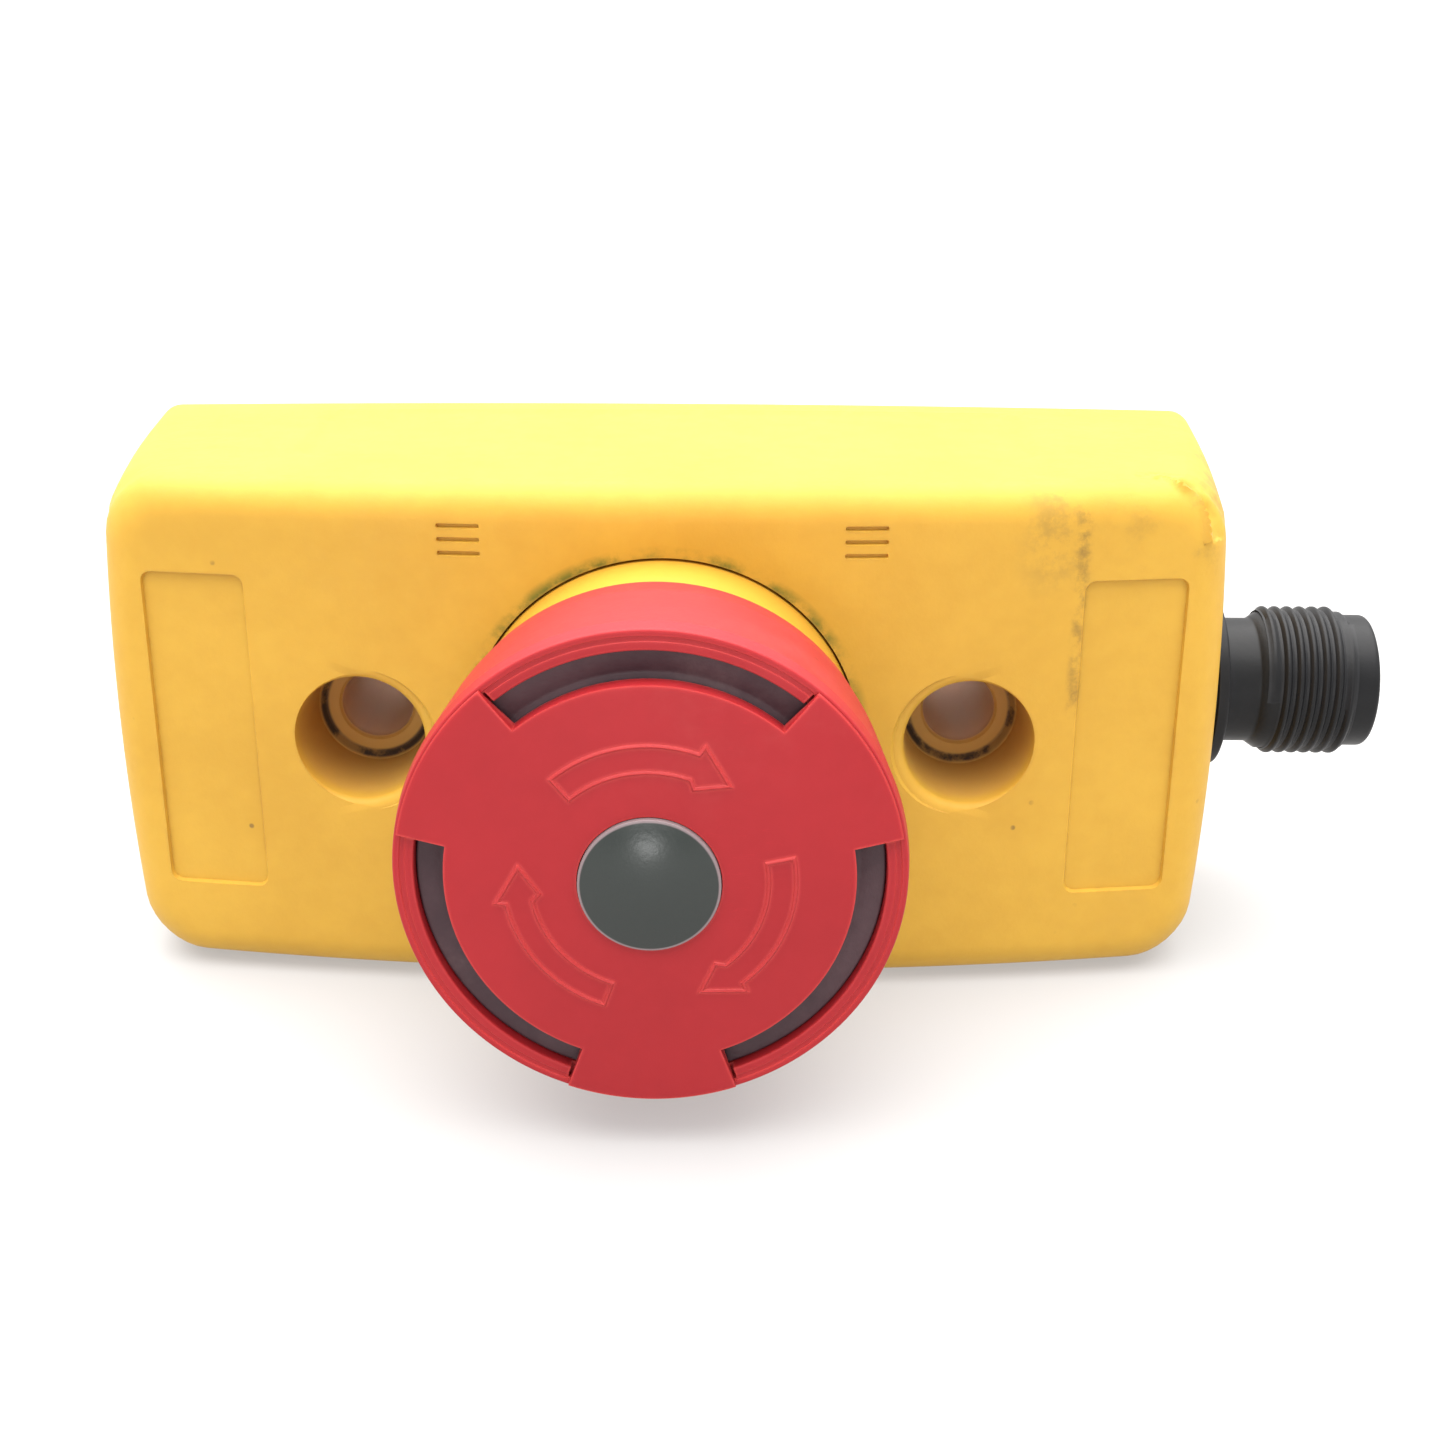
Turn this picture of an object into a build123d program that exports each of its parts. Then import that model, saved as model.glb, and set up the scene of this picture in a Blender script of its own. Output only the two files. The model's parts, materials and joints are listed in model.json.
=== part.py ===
"""Emergency stop button in a small rectangular housing with an M12 inlet.

Every piece is drawn in a working frame whose Z axis runs from the mounting face
to the button, X to the connector and Y across the housing, and is turned into the
delivered frame (X to the connector, Z across, -Y to the button) when it is saved.
"""
from build123d import *
import math
import os

# ---- housing ------------------------------------------------------------------
BASE_HALF_LENGTH = 43.4      # at the mounting face, on the long axis
BASE_HALF_WIDTH = 19.8
FRONT_HALF_LENGTH = 41.4     # at EDGE_DEPTH
FRONT_HALF_WIDTH = 19.4
END_BULGE = 0.9              # how far the end walls bow outwards
SIDE_BULGE = 0.35
BASE_CORNER = 1.8
FRONT_CORNER = 5.2
EDGE_DEPTH = 23.6            # depth of the front face at its two ends
ARCH = 3.2                   # rise of the front face in the middle
FRONT_EDGE = 2.6             # rounding round the front face
WALL = 2.0
FRONT_WALL = 2.4

# ---- fits ---------------------------------------------------------------------
RUNNING = 0.05               # radial, sliding and turning fits
GAP = 0.35                   # between parts that move past each other
SEAT = 0.05                  # around parts dropped into a pocket
TRAVEL = 4.0                 # press of the button

# ---- screw holes --------------------------------------------------------------
HOLE_SPACING = 45.0
HOLE_R = 2.75                # M5 clearance
HEAD_MOUTH_R = 4.8
HEAD_SEAT_R = 4.4            # M5 socket head is 8.5 across
HEAD_SEAT_Z = 18.2
HEAD_LIP = 0.7
TUBE_R = 6.4

# ---- shallow marks on the front -----------------------------------------------
PANEL_IN = 30.3
PANEL_OUT = 38.0
PANEL_HALF = 12.4
PANEL_DEPTH = 0.35
BAR_IN = 12.9
BAR_OUT = 16.0
BAR_Y = (14.5, 15.5, 16.5)
BAR_WIDTH = 0.35
LABEL_HALF_LENGTH = 28.0
LABEL_Z = (2.2, 17.4)
LABEL_DEPTH = 0.2

# ---- collar -------------------------------------------------------------------
COLLAR_R = 14.05
COLLAR_FOOT_R = 14.3
COLLAR_FOOT_Z = 31.5         # where the flared foot has run out
COLLAR_TOP = 40.0
COLLAR_WALL = 1.7
FLANGE_R = 15.7
FLANGE_T = 1.7
BOSS_Z = 23.4                # flat ring inside the housing front
HUB_R = 8.6
HUB_Z = 26.0                 # underside of the guide hub
HUB_TOP = 38.0
WEB_T = 1.8
RING_SECTION = 0.45          # collar seal

# ---- button -------------------------------------------------------------------
CAP_BACK_Z = 35.2
CAP_BACK_R = 15.25
CAP_FRONT_R = 16.42
CAP_RIM_Z = 47.4
RING_FRONT_Z = 48.05
SKIRT_BORE = 14.45
SLOT_IN = 12.94
SLOT_OUT = 14.9
SLOT_ANGLE = 80.0
SLOT_COUNT = 3
SLOT_START = 90.0            # middle of the first slot
FACE_EDGE_Z = 48.7           # face height at the rim of the lobes
FACE_RISE = 1.05             # dome of the face between rim and centre
FACE_T = 1.6
DIFFUSER_T = 1.0
LENS_R = 4.5
LENS_EDGE_Z = 49.95
LENS_DOME = 0.85
LENS_T = 2.2

# ---- stem ---------------------------------------------------------------------
STEM_R = 6.0
STEM_BORE = 3.0
STEM_Z = 13.0
GUIDE_R = 2.5
GUIDE_Z = 14.2
CLIP_R = 8.2
CLIP_T = 0.8
LIP_R = 8.0                  # stem seal

# ---- contact carrier and contacts ---------------------------------------------
CARRIER_R = 6.6
CARRIER_TOP = STEM_Z - GAP
CARRIER_SKIRT_Z = 10.0
ARM_Y = 10.0
ARM_W = 3.4
ARM_T = 3.6
ARM_TOP = 14.2
ARM_Z = 8.0
WINDOW_Z = 8.7
WINDOW_TOP = 12.9
BRIDGE_Z = 10.2
BRIDGE_T = 0.6
BRIDGE_W = 3.0
BRIDGE_HALF = 7.4
CONTACT_TIP = 0.5
FIXED_HALF = 4.2             # inner end of a fixed contact
FIXED_OUT = 12.9
BLOCK_HALF_X = 13.6          # contact block, half sizes
BLOCK_HALF_Y = 15.6
BLOCK_Z = 2.0
BLOCK_TOP = 15.2
BLOCK_WALL = 1.3
SPRING_SEAT_Z = 5.6
BEAM_Y = (3.6, 4.8)

# ---- latch --------------------------------------------------------------------
LATCH_MOVE = 0.8             # each pin slides out this far over the full press
PIN_R = 1.1
PIN_Z = 11.0
PIN_IN = 6.9
PIN_OUT = 9.4
PLATE_T = 1.2
PLATE_HALF = 3.0
PLATE_Z = 5.4
PLATE_TOP = 14.0

# ---- board --------------------------------------------------------------------
BOARD_X = (-12.0, 15.7)
BOARD_HALF_Y = 6.4
BOARD_Z = 3.4
BOARD_T = 1.2
LED_R = 2.3
LED_TOP = 9.1

# ---- back ---------------------------------------------------------------------
FILL_Z = 0.35
FILL_GAP = 0.03
FILL_T = 1.65

# ---- M12 inlet ----------------------------------------------------------------
INLET_Z = 11.0
NECK_R = 4.95
THREAD_R = 5.95
THREAD_ROOT = 5.35
THREAD_PITCH = 1.0
THREAD_X = (47.0, 53.6)
TIP_R = 5.25
TIP_X = 55.6
INLET_FLANGE_R = 6.8
INLET_FLANGE_X = (42.6, 43.5)
SPOT_X = 42.1                # flat cut in the end wall under the inlet seal
NUT_SEAT_X = 39.4            # flat boss inside the end wall
SOCKET_R = 4.3
SOCKET_DEPTH = 9.0
INLET_TAIL = 35.4
NUT_R = 6.9
NUT_T = 2.4
CONTACT_R = 0.5
CONTACT_PCD_R = 2.65
CONTACT_TIP_X = 53.4
LEAD_R = 0.45
LEAD_Z = 7.0                 # lowest wire beside the column
LEAD_STEP = 1.6

# ---- springs ------------------------------------------------------------------
RETURN_R = 4.3
RETURN_WIRE = 0.32
RETURN_TURNS = 3.0
TWIST_R = 10.4
TWIST_WIRE = 0.45
TWIST_TURNS = 7.0
CONTACT_SPRING_R = 0.85
CONTACT_SPRING_WIRE = 0.16
CONTACT_SPRING_TURNS = 3.0

HALF_SPACING = HOLE_SPACING / 2
MID_DEPTH = EDGE_DEPTH + ARCH
ARCH_R = (FRONT_HALF_LENGTH ** 2 + ARCH ** 2) / (2 * ARCH)
ARCH_CENTRE = MID_DEPTH - ARCH_R
FACE_CENTRE_Z = FACE_EDGE_Z + FACE_RISE
FACE_BALL = (CAP_FRONT_R ** 2 + FACE_RISE ** 2) / (2 * FACE_RISE)


def arch_z(x):
    """Height of the front face above the mounting face at x."""
    return ARCH_CENTRE + math.sqrt(ARCH_R ** 2 - x ** 2)


def face_z(r):
    """Height of the domed button face at radius r."""
    return FACE_CENTRE_Z - FACE_BALL + math.sqrt(FACE_BALL ** 2 - r ** 2)


def disc(r, z0, z1):
    """Solid cylinder about the button axis."""
    return Pos(0, 0, z0) * Cylinder(r, z1 - z0, align=(Align.CENTER, Align.CENTER, Align.MIN))


def tube(r_out, r_in, z0, z1):
    """Hollow cylinder about the button axis."""
    return disc(r_out, z0, z1) - disc(r_in, z0 - 1, z1 + 1)


def block(x0, x1, y0, y1, z0, z1):
    """Box given by its limits."""
    return Pos((x0 + x1) / 2, (y0 + y1) / 2, (z0 + z1) / 2) * Box(x1 - x0, y1 - y0, z1 - z0)


def turned(points):
    """Solid of revolution about the button axis from (radius, height) points."""
    profile = make_face(Polyline(*[(r, 0, z) for r, z in points], close=True))
    return revolve(profile, Axis.Z, 360)


def along_x(r, x0, x1):
    """Solid cylinder along X on the inlet axis."""
    return Pos(x0, 0, INLET_Z) * Rot(0, 90, 0) * Cylinder(
        r, x1 - x0, align=(Align.CENTER, Align.CENTER, Align.MIN))


def coil(radius, wire, z0, z1, turns, x=0.0, y=0.0):
    """Coil spring between two heights; the wire stays inside them."""
    low = z0 + wire
    high = z1 - wire
    path = Helix(pitch=(high - low) / turns, height=high - low, radius=radius)
    section = Plane(origin=path @ 0, z_dir=path % 0) * Circle(wire)
    return Pos(x, y, low) * sweep(section, path=path, is_frenet=True)


def outline(half_l, half_w, corner, z):
    """Rounded rectangle with bowed sides, as a face at height z."""
    x = half_l - END_BULGE
    y = half_w - SIDE_BULGE
    sides = [
        ThreePointArc((x, -y), (half_l, 0), (x, y)),
        ThreePointArc((x, y), (0, half_w), (-x, y)),
        ThreePointArc((-x, y), (-half_l, 0), (-x, -y)),
        ThreePointArc((-x, -y), (0, -half_w), (x, -y)),
    ]
    face = make_face(sides)
    return Pos(0, 0, z) * fillet(face.vertices(), corner)


def tapered(inset, z0, z1):
    """The housing shape moved in by inset, between two heights."""
    def at(z):
        t = z / EDGE_DEPTH
        half_l = BASE_HALF_LENGTH + (FRONT_HALF_LENGTH - BASE_HALF_LENGTH) * t - inset
        half_w = BASE_HALF_WIDTH + (FRONT_HALF_WIDTH - BASE_HALF_WIDTH) * t - inset
        corner = BASE_CORNER + (FRONT_CORNER - BASE_CORNER) * t - 0.6 * inset
        return outline(half_l, half_w, corner, z)
    return loft([at(z0), at(z1)], ruled=True)


def under_arch(inset):
    """Large cylinder across the housing that bounds the front face."""
    return Pos(0, 0, ARCH_CENTRE) * Rot(90, 0, 0) * Cylinder(ARCH_R - inset, 4 * BASE_HALF_WIDTH)


def screw_hole(x):
    """Through hole with the tapered pocket for the screw head."""
    mouth = arch_z(x)
    cut = turned([(0, -1), (HOLE_R, -1), (HOLE_R, HEAD_SEAT_Z), (HEAD_SEAT_R - 0.5, HEAD_SEAT_Z),
                  (HEAD_SEAT_R, HEAD_SEAT_Z + 0.5), (HEAD_MOUTH_R, mouth - HEAD_LIP),
                  (HEAD_MOUTH_R + HEAD_LIP, mouth), (HEAD_MOUTH_R + 2 * HEAD_LIP, mouth + HEAD_LIP),
                  (0, mouth + HEAD_LIP)])
    return Pos(x, 0, 0) * cut


def front_marks():
    """Shallow recesses in the front face: two blank panels and two sets of bars."""
    flat = Sketch()
    for side in (-1, 1):
        mid = side * (PANEL_IN + PANEL_OUT) / 2
        flat += Pos(mid, 0) * RectangleRounded(PANEL_OUT - PANEL_IN, 2 * PANEL_HALF, 0.8)
        for y in BAR_Y:
            flat += Pos(side * (BAR_IN + BAR_OUT) / 2, y) * Rectangle(BAR_OUT - BAR_IN, BAR_WIDTH)
    tall = extrude(flat, 2 * MID_DEPTH)
    return tall - under_arch(PANEL_DEPTH)


def housing():
    body = tapered(0, 0, MID_DEPTH + 4) & under_arch(0)
    front = body.faces().sort_by(Axis.Z)[-1]
    body = fillet(front.edges(), FRONT_EDGE)
    cavity = tapered(WALL, -1, MID_DEPTH) & under_arch(FRONT_WALL)
    body -= cavity
    body += tube(FLANGE_R + 0.6, COLLAR_FOOT_R, BOSS_Z, MID_DEPTH - FRONT_WALL + 0.3) & under_arch(0.5)
    for side in (-1, 1):
        column = Pos(side * HALF_SPACING, 0, 0) * disc(TUBE_R, 0, MID_DEPTH)
        body += column & under_arch(1.0)
    for side in (-1, 1):
        body -= screw_hole(side * HALF_SPACING)
    body -= disc(COLLAR_FOOT_R + SEAT, -1, MID_DEPTH + 4)
    body -= front_marks()
    label = block(-LABEL_HALF_LENGTH, LABEL_HALF_LENGTH, FRONT_HALF_WIDTH - LABEL_DEPTH,
                  FRONT_HALF_WIDTH + 4, *LABEL_Z)
    body -= label
    body += along_x(NUT_R + 0.4, NUT_SEAT_X, SPOT_X - 0.5)
    body -= along_x(INLET_FLANGE_R + 0.15, SPOT_X, BASE_HALF_LENGTH + 2)
    body -= along_x(NECK_R + SEAT, INLET_TAIL, BASE_HALF_LENGTH + 2)
    return body


def collar():
    foot = BOSS_Z - GAP
    bore = COLLAR_R - COLLAR_WALL
    shell = turned([(bore, foot - FLANGE_T), (FLANGE_R, foot - FLANGE_T), (FLANGE_R, foot),
                    (COLLAR_FOOT_R, foot), (COLLAR_FOOT_R, MID_DEPTH - 1.5), (COLLAR_R, COLLAR_FOOT_Z),
                    (COLLAR_R, COLLAR_TOP - 0.5), (COLLAR_R - 0.5, COLLAR_TOP), (bore, COLLAR_TOP)])
    groove_r = (FLANGE_R + COLLAR_FOOT_R) / 2
    groove = tube(groove_r + RING_SECTION, groove_r - RING_SECTION,
                  BOSS_Z - 2 * RING_SECTION, foot + 1)
    web = tube(bore + 0.2, STEM_R + RUNNING, HUB_Z, HUB_Z + WEB_T)
    hub = tube(HUB_R, STEM_R + RUNNING, HUB_Z, HUB_TOP)
    return shell - groove + web + hub


def collar_seal():
    ring = Torus((FLANGE_R + COLLAR_FOOT_R) / 2, RING_SECTION)
    return Pos(0, 0, BOSS_Z - RING_SECTION) * ring


def stem_seal():
    """Lip seal pressed on the hub, with its lip on the stem."""
    top = HUB_TOP + 1.6
    return turned([(STEM_R + RUNNING, HUB_TOP), (LIP_R, HUB_TOP), (LIP_R, HUB_TOP + 0.8),
                   (STEM_R + 0.9, top), (STEM_R + RUNNING, top)])


def wedge(start, sweep_angle, r_out, z0, z1):
    """Sector of a disc, from start through sweep_angle degrees."""
    a0 = math.radians(start)
    a1 = math.radians(start + sweep_angle)
    am = (a0 + a1) / 2
    rim = ThreePointArc((r_out * math.cos(a0), r_out * math.sin(a0)),
                        (r_out * math.cos(am), r_out * math.sin(am)),
                        (r_out * math.cos(a1), r_out * math.sin(a1)))
    sides = [Line((0, 0), rim @ 0), rim, Line(rim @ 1, (0, 0))]
    return Pos(0, 0, z0) * extrude(make_face(sides), z1 - z0)


def slots(r_out, z0, z1, extra=0.0):
    """The sectors taken up by the slots."""
    cut = Part()
    for n in range(SLOT_COUNT):
        middle = SLOT_START + n * 360 / SLOT_COUNT
        cut += wedge(middle - SLOT_ANGLE / 2 - extra, SLOT_ANGLE + 2 * extra, r_out, z0, z1)
    return cut


def cap_skirt():
    """Outer shell of the button, with the low rim seen beside the slots."""
    shell = turned([(SKIRT_BORE, CAP_BACK_Z), (CAP_BACK_R, CAP_BACK_Z), (15.95, 41.5),
                    (CAP_FRONT_R, CAP_RIM_Z - 0.3), (CAP_FRONT_R - 0.35, RING_FRONT_Z),
                    (SLOT_OUT, RING_FRONT_Z), (SLOT_OUT, RING_FRONT_Z - 1.4), (SKIRT_BORE, RING_FRONT_Z - 1.4)])
    floor_z = RING_FRONT_Z - 1.4 - DIFFUSER_T
    floor = tube(SKIRT_BORE + 0.2, STEM_R + SEAT, floor_z - 1.2, floor_z)
    return shell + floor


def slot_ring():
    """Dark ring under the slots."""
    top = RING_FRONT_Z - 0.25
    return tube(SLOT_OUT - SEAT, SLOT_IN - 1.2, RING_FRONT_Z - 1.4, top) + tube(
        SKIRT_BORE - SEAT, SLOT_IN - 1.2, RING_FRONT_Z - 1.4 - DIFFUSER_T, RING_FRONT_Z - 1.4)


def arrow(middle):
    """One turning arrow, raised from the face."""
    r_in, r_out = 7.45, 9.15
    tail = math.radians(middle + 41)
    neck = math.radians(middle - 20)
    tip = math.radians(middle - 37)
    bow = (tail + neck) / 2
    def at(r, a):
        return (r * math.cos(a), r * math.sin(a))
    outer = ThreePointArc(at(r_out, tail), at(r_out, bow), at(r_out, neck))
    inner = ThreePointArc(at(r_in, neck), at(r_in, bow), at(r_in, tail))
    head = Polyline(outer @ 1, at(r_out + 0.75, neck), at((r_in + r_out) / 2, tip),
                    at(r_in - 0.75, neck), inner @ 0)
    shape = make_face([outer, head, inner, Line(inner @ 1, outer @ 0)])
    return extrude(shape, 2 * MID_DEPTH)


def cap_face():
    """Domed face with three lobes that reach the rim, and three turning arrows."""
    low = RING_FRONT_Z
    ball = Pos(0, 0, FACE_CENTRE_Z - FACE_BALL) * Sphere(FACE_BALL)
    lobes = disc(CAP_FRONT_R - 0.35, low, FACE_CENTRE_Z + 1) & ball
    lobes -= slots(2 * CAP_FRONT_R, low - 1, FACE_CENTRE_Z + 2)
    centre = disc(SLOT_IN, low - 0.25, FACE_CENTRE_Z + 1) & ball
    ring = Pos(0, 0, FACE_CENTRE_Z - FACE_BALL) * Sphere(FACE_BALL + 0.15)
    arrows = Part()
    for n in range(SLOT_COUNT):
        arrows += arrow(SLOT_START + n * 360 / SLOT_COUNT)
    arrows = (arrows & ring) & disc(SLOT_IN, low, FACE_CENTRE_Z + 1)
    neck = disc(SLOT_IN - 1.2 - SEAT, RING_FRONT_Z - 1.4 - DIFFUSER_T, low)
    body = lobes + centre + arrows + neck
    body -= disc(LENS_R + SEAT, LENS_EDGE_Z - LENS_T, FACE_CENTRE_Z + 2)
    body -= disc(STEM_R + SEAT, 0, LENS_EDGE_Z - LENS_T - 0.9)
    body -= disc(GUIDE_R + SEAT, 0, FACE_CENTRE_Z)
    return body


def lens():
    ball_r = (LENS_R ** 2 + LENS_DOME ** 2) / (2 * LENS_DOME)
    ball = Pos(0, 0, LENS_EDGE_Z + LENS_DOME - ball_r) * Sphere(ball_r)
    return disc(LENS_R, LENS_EDGE_Z - LENS_T, LENS_EDGE_Z + 1) & ball


def stem():
    top = LENS_EDGE_Z - LENS_T - 0.9
    body = tube(STEM_R, STEM_BORE, STEM_Z, top)
    groove_top = HUB_Z - GAP
    return body - tube(STEM_R + 1, STEM_R - 0.6, groove_top - CLIP_T, groove_top)


def stem_clip():
    top = HUB_Z - GAP
    ring = tube(CLIP_R, STEM_R - 0.6 + SEAT, top - CLIP_T + SEAT, top - SEAT)
    return ring - block(-STEM_R + 0.8, STEM_R - 0.8, 0, CLIP_R + 1, top - 2, top + 1)


def light_guide():
    return disc(GUIDE_R, GUIDE_Z, LENS_EDGE_Z - LENS_T)


def carrier():
    """Slider under the stem that carries both moving contacts and the latch pins."""
    body = disc(CARRIER_R, CARRIER_SKIRT_Z, CARRIER_TOP)
    body -= disc(RETURN_R + RETURN_WIRE + 0.6, CARRIER_SKIRT_Z - 1, CARRIER_TOP - 0.9)
    for side in (-1, 1):
        y0, y1 = sorted((side * (ARM_Y - ARM_T / 2), side * (ARM_Y + ARM_T / 2)))
        body += block(-ARM_W / 2, ARM_W / 2, y0, y1, ARM_Z, ARM_TOP)
        y0, y1 = sorted((side * (CARRIER_R - 1.0), side * ARM_Y))
        body += block(-ARM_W / 2, ARM_W / 2, y0, y1, CARRIER_TOP - 1.4, CARRIER_TOP)
    for side in (-1, 1):
        y0, y1 = sorted((side * (ARM_Y - BRIDGE_W / 2 - 0.1), side * (ARM_Y + ARM_T)))
        body -= block(-ARM_W, ARM_W, y0, y1, WINDOW_Z, WINDOW_TOP - 0.8)
    for side in (-1, 1):
        x0, x1 = sorted((side * (CARRIER_R - 1.2), side * (PIN_OUT - 1.4)))
        body += block(x0, x1, -PIN_R - 0.8, PIN_R + 0.8, PIN_Z - PIN_R - 0.6, PIN_Z + PIN_R + 0.6)
        body -= Pos(side * PIN_IN, 0, PIN_Z) * Rot(0, 90, 0) * Cylinder(PIN_R + RUNNING, 2 * PIN_R + 0.4)
    body -= disc(RETURN_R + RETURN_WIRE + 0.6, CARRIER_SKIRT_Z - 1, CARRIER_TOP - 0.9)
    body -= disc(LED_R + GAP + 0.4, 0, CARRIER_TOP + 1)
    return body


def latch_pin(side):
    x0, x1 = sorted((side * PIN_IN, side * PIN_OUT))
    length = x1 - x0
    pin = Pos((x0 + x1) / 2, 0, PIN_Z) * Rot(0, 90, 0) * Cylinder(PIN_R, length)
    return chamfer(pin.edges().filter_by(GeomType.CIRCLE), 0.25)


def latch_plates():
    """Two steel ramps that guide the pins outwards as the button goes in."""
    slope = LATCH_MOVE / TRAVEL
    near = PIN_OUT + GAP
    plates = []
    for side in (-1, 1):
        x_top = side * (near - slope * (PLATE_TOP - PIN_Z))
        x_low = side * (near + slope * (PIN_Z - PLATE_Z))
        profile = Polyline((x_top, 0, PLATE_TOP), (x_low, 0, PLATE_Z),
                           (x_low + side * PLATE_T, 0, PLATE_Z),
                           (x_top + side * PLATE_T, 0, PLATE_TOP), close=True)
        plates.append(extrude(make_face(profile), PLATE_HALF, both=True))
    return Compound(children=plates)


def bridges():
    """Two moving contact bars with a silver tip at each end."""
    bars = []
    for side in (-1, 1):
        bar = block(-BRIDGE_HALF, BRIDGE_HALF, side * ARM_Y - BRIDGE_W / 2, side * ARM_Y + BRIDGE_W / 2,
                    BRIDGE_Z, BRIDGE_Z + BRIDGE_T)
        for end in (-1, 1):
            tip = Pos(end * (BRIDGE_HALF - 1.3), side * ARM_Y, BRIDGE_Z + BRIDGE_T)
            bar += tip * Cylinder(0.9, CONTACT_TIP, align=(Align.CENTER, Align.CENTER, Align.MIN))
        bars.append(bar)
    return Compound(children=bars)


def contact_springs():
    coils = []
    for side in (-1, 1):
        coils.append(coil(CONTACT_SPRING_R, CONTACT_SPRING_WIRE, WINDOW_Z, BRIDGE_Z,
                          CONTACT_SPRING_TURNS, y=side * ARM_Y))
    return Compound(children=coils)


def fixed_contacts():
    """Four strips: each starts over a bridge tip and turns down to the board side."""
    z0 = BRIDGE_Z + BRIDGE_T + CONTACT_TIP + GAP
    strips = []
    for sx in (-1, 1):
        for sy in (-1, 1):
            xs = sorted((sx * FIXED_HALF, sx * FIXED_OUT))
            ys = sorted((sy * (ARM_Y - BRIDGE_W / 2), sy * (ARM_Y + BRIDGE_W / 2)))
            strip = block(*xs, *ys, z0, z0 + BRIDGE_T)
            leg = sorted((sx * (FIXED_OUT - BRIDGE_T), sx * FIXED_OUT))
            strip += block(*leg, *ys, BLOCK_Z + BLOCK_WALL + 1.0, z0 + BRIDGE_T)
            strips.append(strip)
    return Compound(children=strips)


def contact_block():
    """Open tray that holds the board, the fixed contacts and the latch plates."""
    half = BLOCK_HALF_X
    body = block(-half, half, -BLOCK_HALF_Y, BLOCK_HALF_Y, BLOCK_Z, BLOCK_TOP)
    body -= block(-half + BLOCK_WALL, half - BLOCK_WALL, -BLOCK_HALF_Y + BLOCK_WALL,
                  BLOCK_HALF_Y - BLOCK_WALL, BLOCK_Z + BLOCK_WALL, BLOCK_TOP + 1)
    seat = tube(RETURN_R + RETURN_WIRE + 0.5, LED_R + GAP, SPRING_SEAT_Z - 0.5, SPRING_SEAT_Z)
    body += seat
    for side in (-1, 1):
        ys = sorted((side * BEAM_Y[0], side * BEAM_Y[1]))
        body += block(-half, half, *ys, SPRING_SEAT_Z - 0.5, SPRING_SEAT_Z)
    for sx in (-1, 1):
        xs = sorted((sx * (FIXED_OUT - BRIDGE_T - 0.9), sx * (half - 0.3)))
        for sy in (-1, 1):
            ys = sorted((sy * (ARM_Y - BRIDGE_W / 2 - 0.8), sy * (ARM_Y + BRIDGE_W / 2 + 0.8)))
            body += block(*xs, *ys, BLOCK_Z + 0.5, 9.0)
        xs = sorted((sx * (PIN_OUT + GAP + 2.0), sx * half))
        body += block(*xs, -PLATE_HALF - 0.8, PLATE_HALF + 0.8, BLOCK_Z + 0.5, PLATE_TOP)
    for piece in fixed_contacts().solids() + latch_plates().solids():
        body -= piece
    body -= block(BOARD_X[0] - SEAT, BOARD_X[1] + 1, -BOARD_HALF_Y - SEAT, BOARD_HALF_Y + SEAT,
                  BOARD_Z - SEAT, BOARD_Z + BOARD_T + SEAT)
    return body


def circuit_board():
    return block(*BOARD_X, -BOARD_HALF_Y, BOARD_HALF_Y, BOARD_Z, BOARD_Z + BOARD_T)


def led():
    top = BOARD_Z + BOARD_T
    return turned([(0, top), (LED_R, top), (LED_R, LED_TOP - LED_R), (LED_R * 0.7, LED_TOP - LED_R * 0.3),
                   (0, LED_TOP)])


def board_parts():
    """Two chip resistors beside the lamp."""
    top = BOARD_Z + BOARD_T
    chips = []
    for side in (-1, 1):
        xs = (side * 9.0 - 1.0, side * 9.0 + 1.0)
        chips.append(block(*xs, 5.0, 6.2, top, top + 0.5))
    return Compound(children=chips)


def back_fill():
    """Cast layer that closes the back of the housing around the screw columns."""
    layer = tapered(WALL + FILL_GAP, FILL_Z, FILL_Z + FILL_T)
    for side in (-1, 1):
        layer -= Pos(side * HALF_SPACING, 0, 0) * disc(TUBE_R + FILL_GAP, -1, MID_DEPTH)
    return layer


def inlet_shell():
    """Threaded sleeve of the inlet with its flange and tail."""
    x0, x1 = THREAD_X
    body = along_x(NECK_R, INLET_TAIL, x0)
    body += along_x(INLET_FLANGE_R, *INLET_FLANGE_X)
    body += along_x(THREAD_ROOT, x0 - 0.6, x1)
    body += along_x(TIP_R, x1 - 0.2, TIP_X)
    count = int((x1 - x0) / THREAD_PITCH)
    for n in range(count):
        x = x0 + (n + 0.5) * THREAD_PITCH
        rib = Polyline((x - THREAD_PITCH * 0.48, THREAD_ROOT - 0.2), (x - 0.12, THREAD_R),
                       (x + 0.12, THREAD_R), (x + THREAD_PITCH * 0.48, THREAD_ROOT - 0.2), close=True)
        ring = revolve(make_face(rib), Axis.X, 360)
        body += Pos(0, 0, INLET_Z) * ring
    body -= along_x(SOCKET_R, TIP_X - SOCKET_DEPTH, TIP_X + 1)
    body -= along_x(SOCKET_R - 0.6, INLET_TAIL - 1, TIP_X)
    return body


def inlet_nut():
    """Hexagon nut that clamps the inlet from inside."""
    x1 = NUT_SEAT_X
    nut = Pos(x1 - NUT_T, 0, INLET_Z) * Rot(0, 90, 0) * extrude(RegularPolygon(NUT_R, 6), NUT_T)
    return nut - along_x(NECK_R + SEAT, x1 - NUT_T - 1, x1 + 1)


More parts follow.
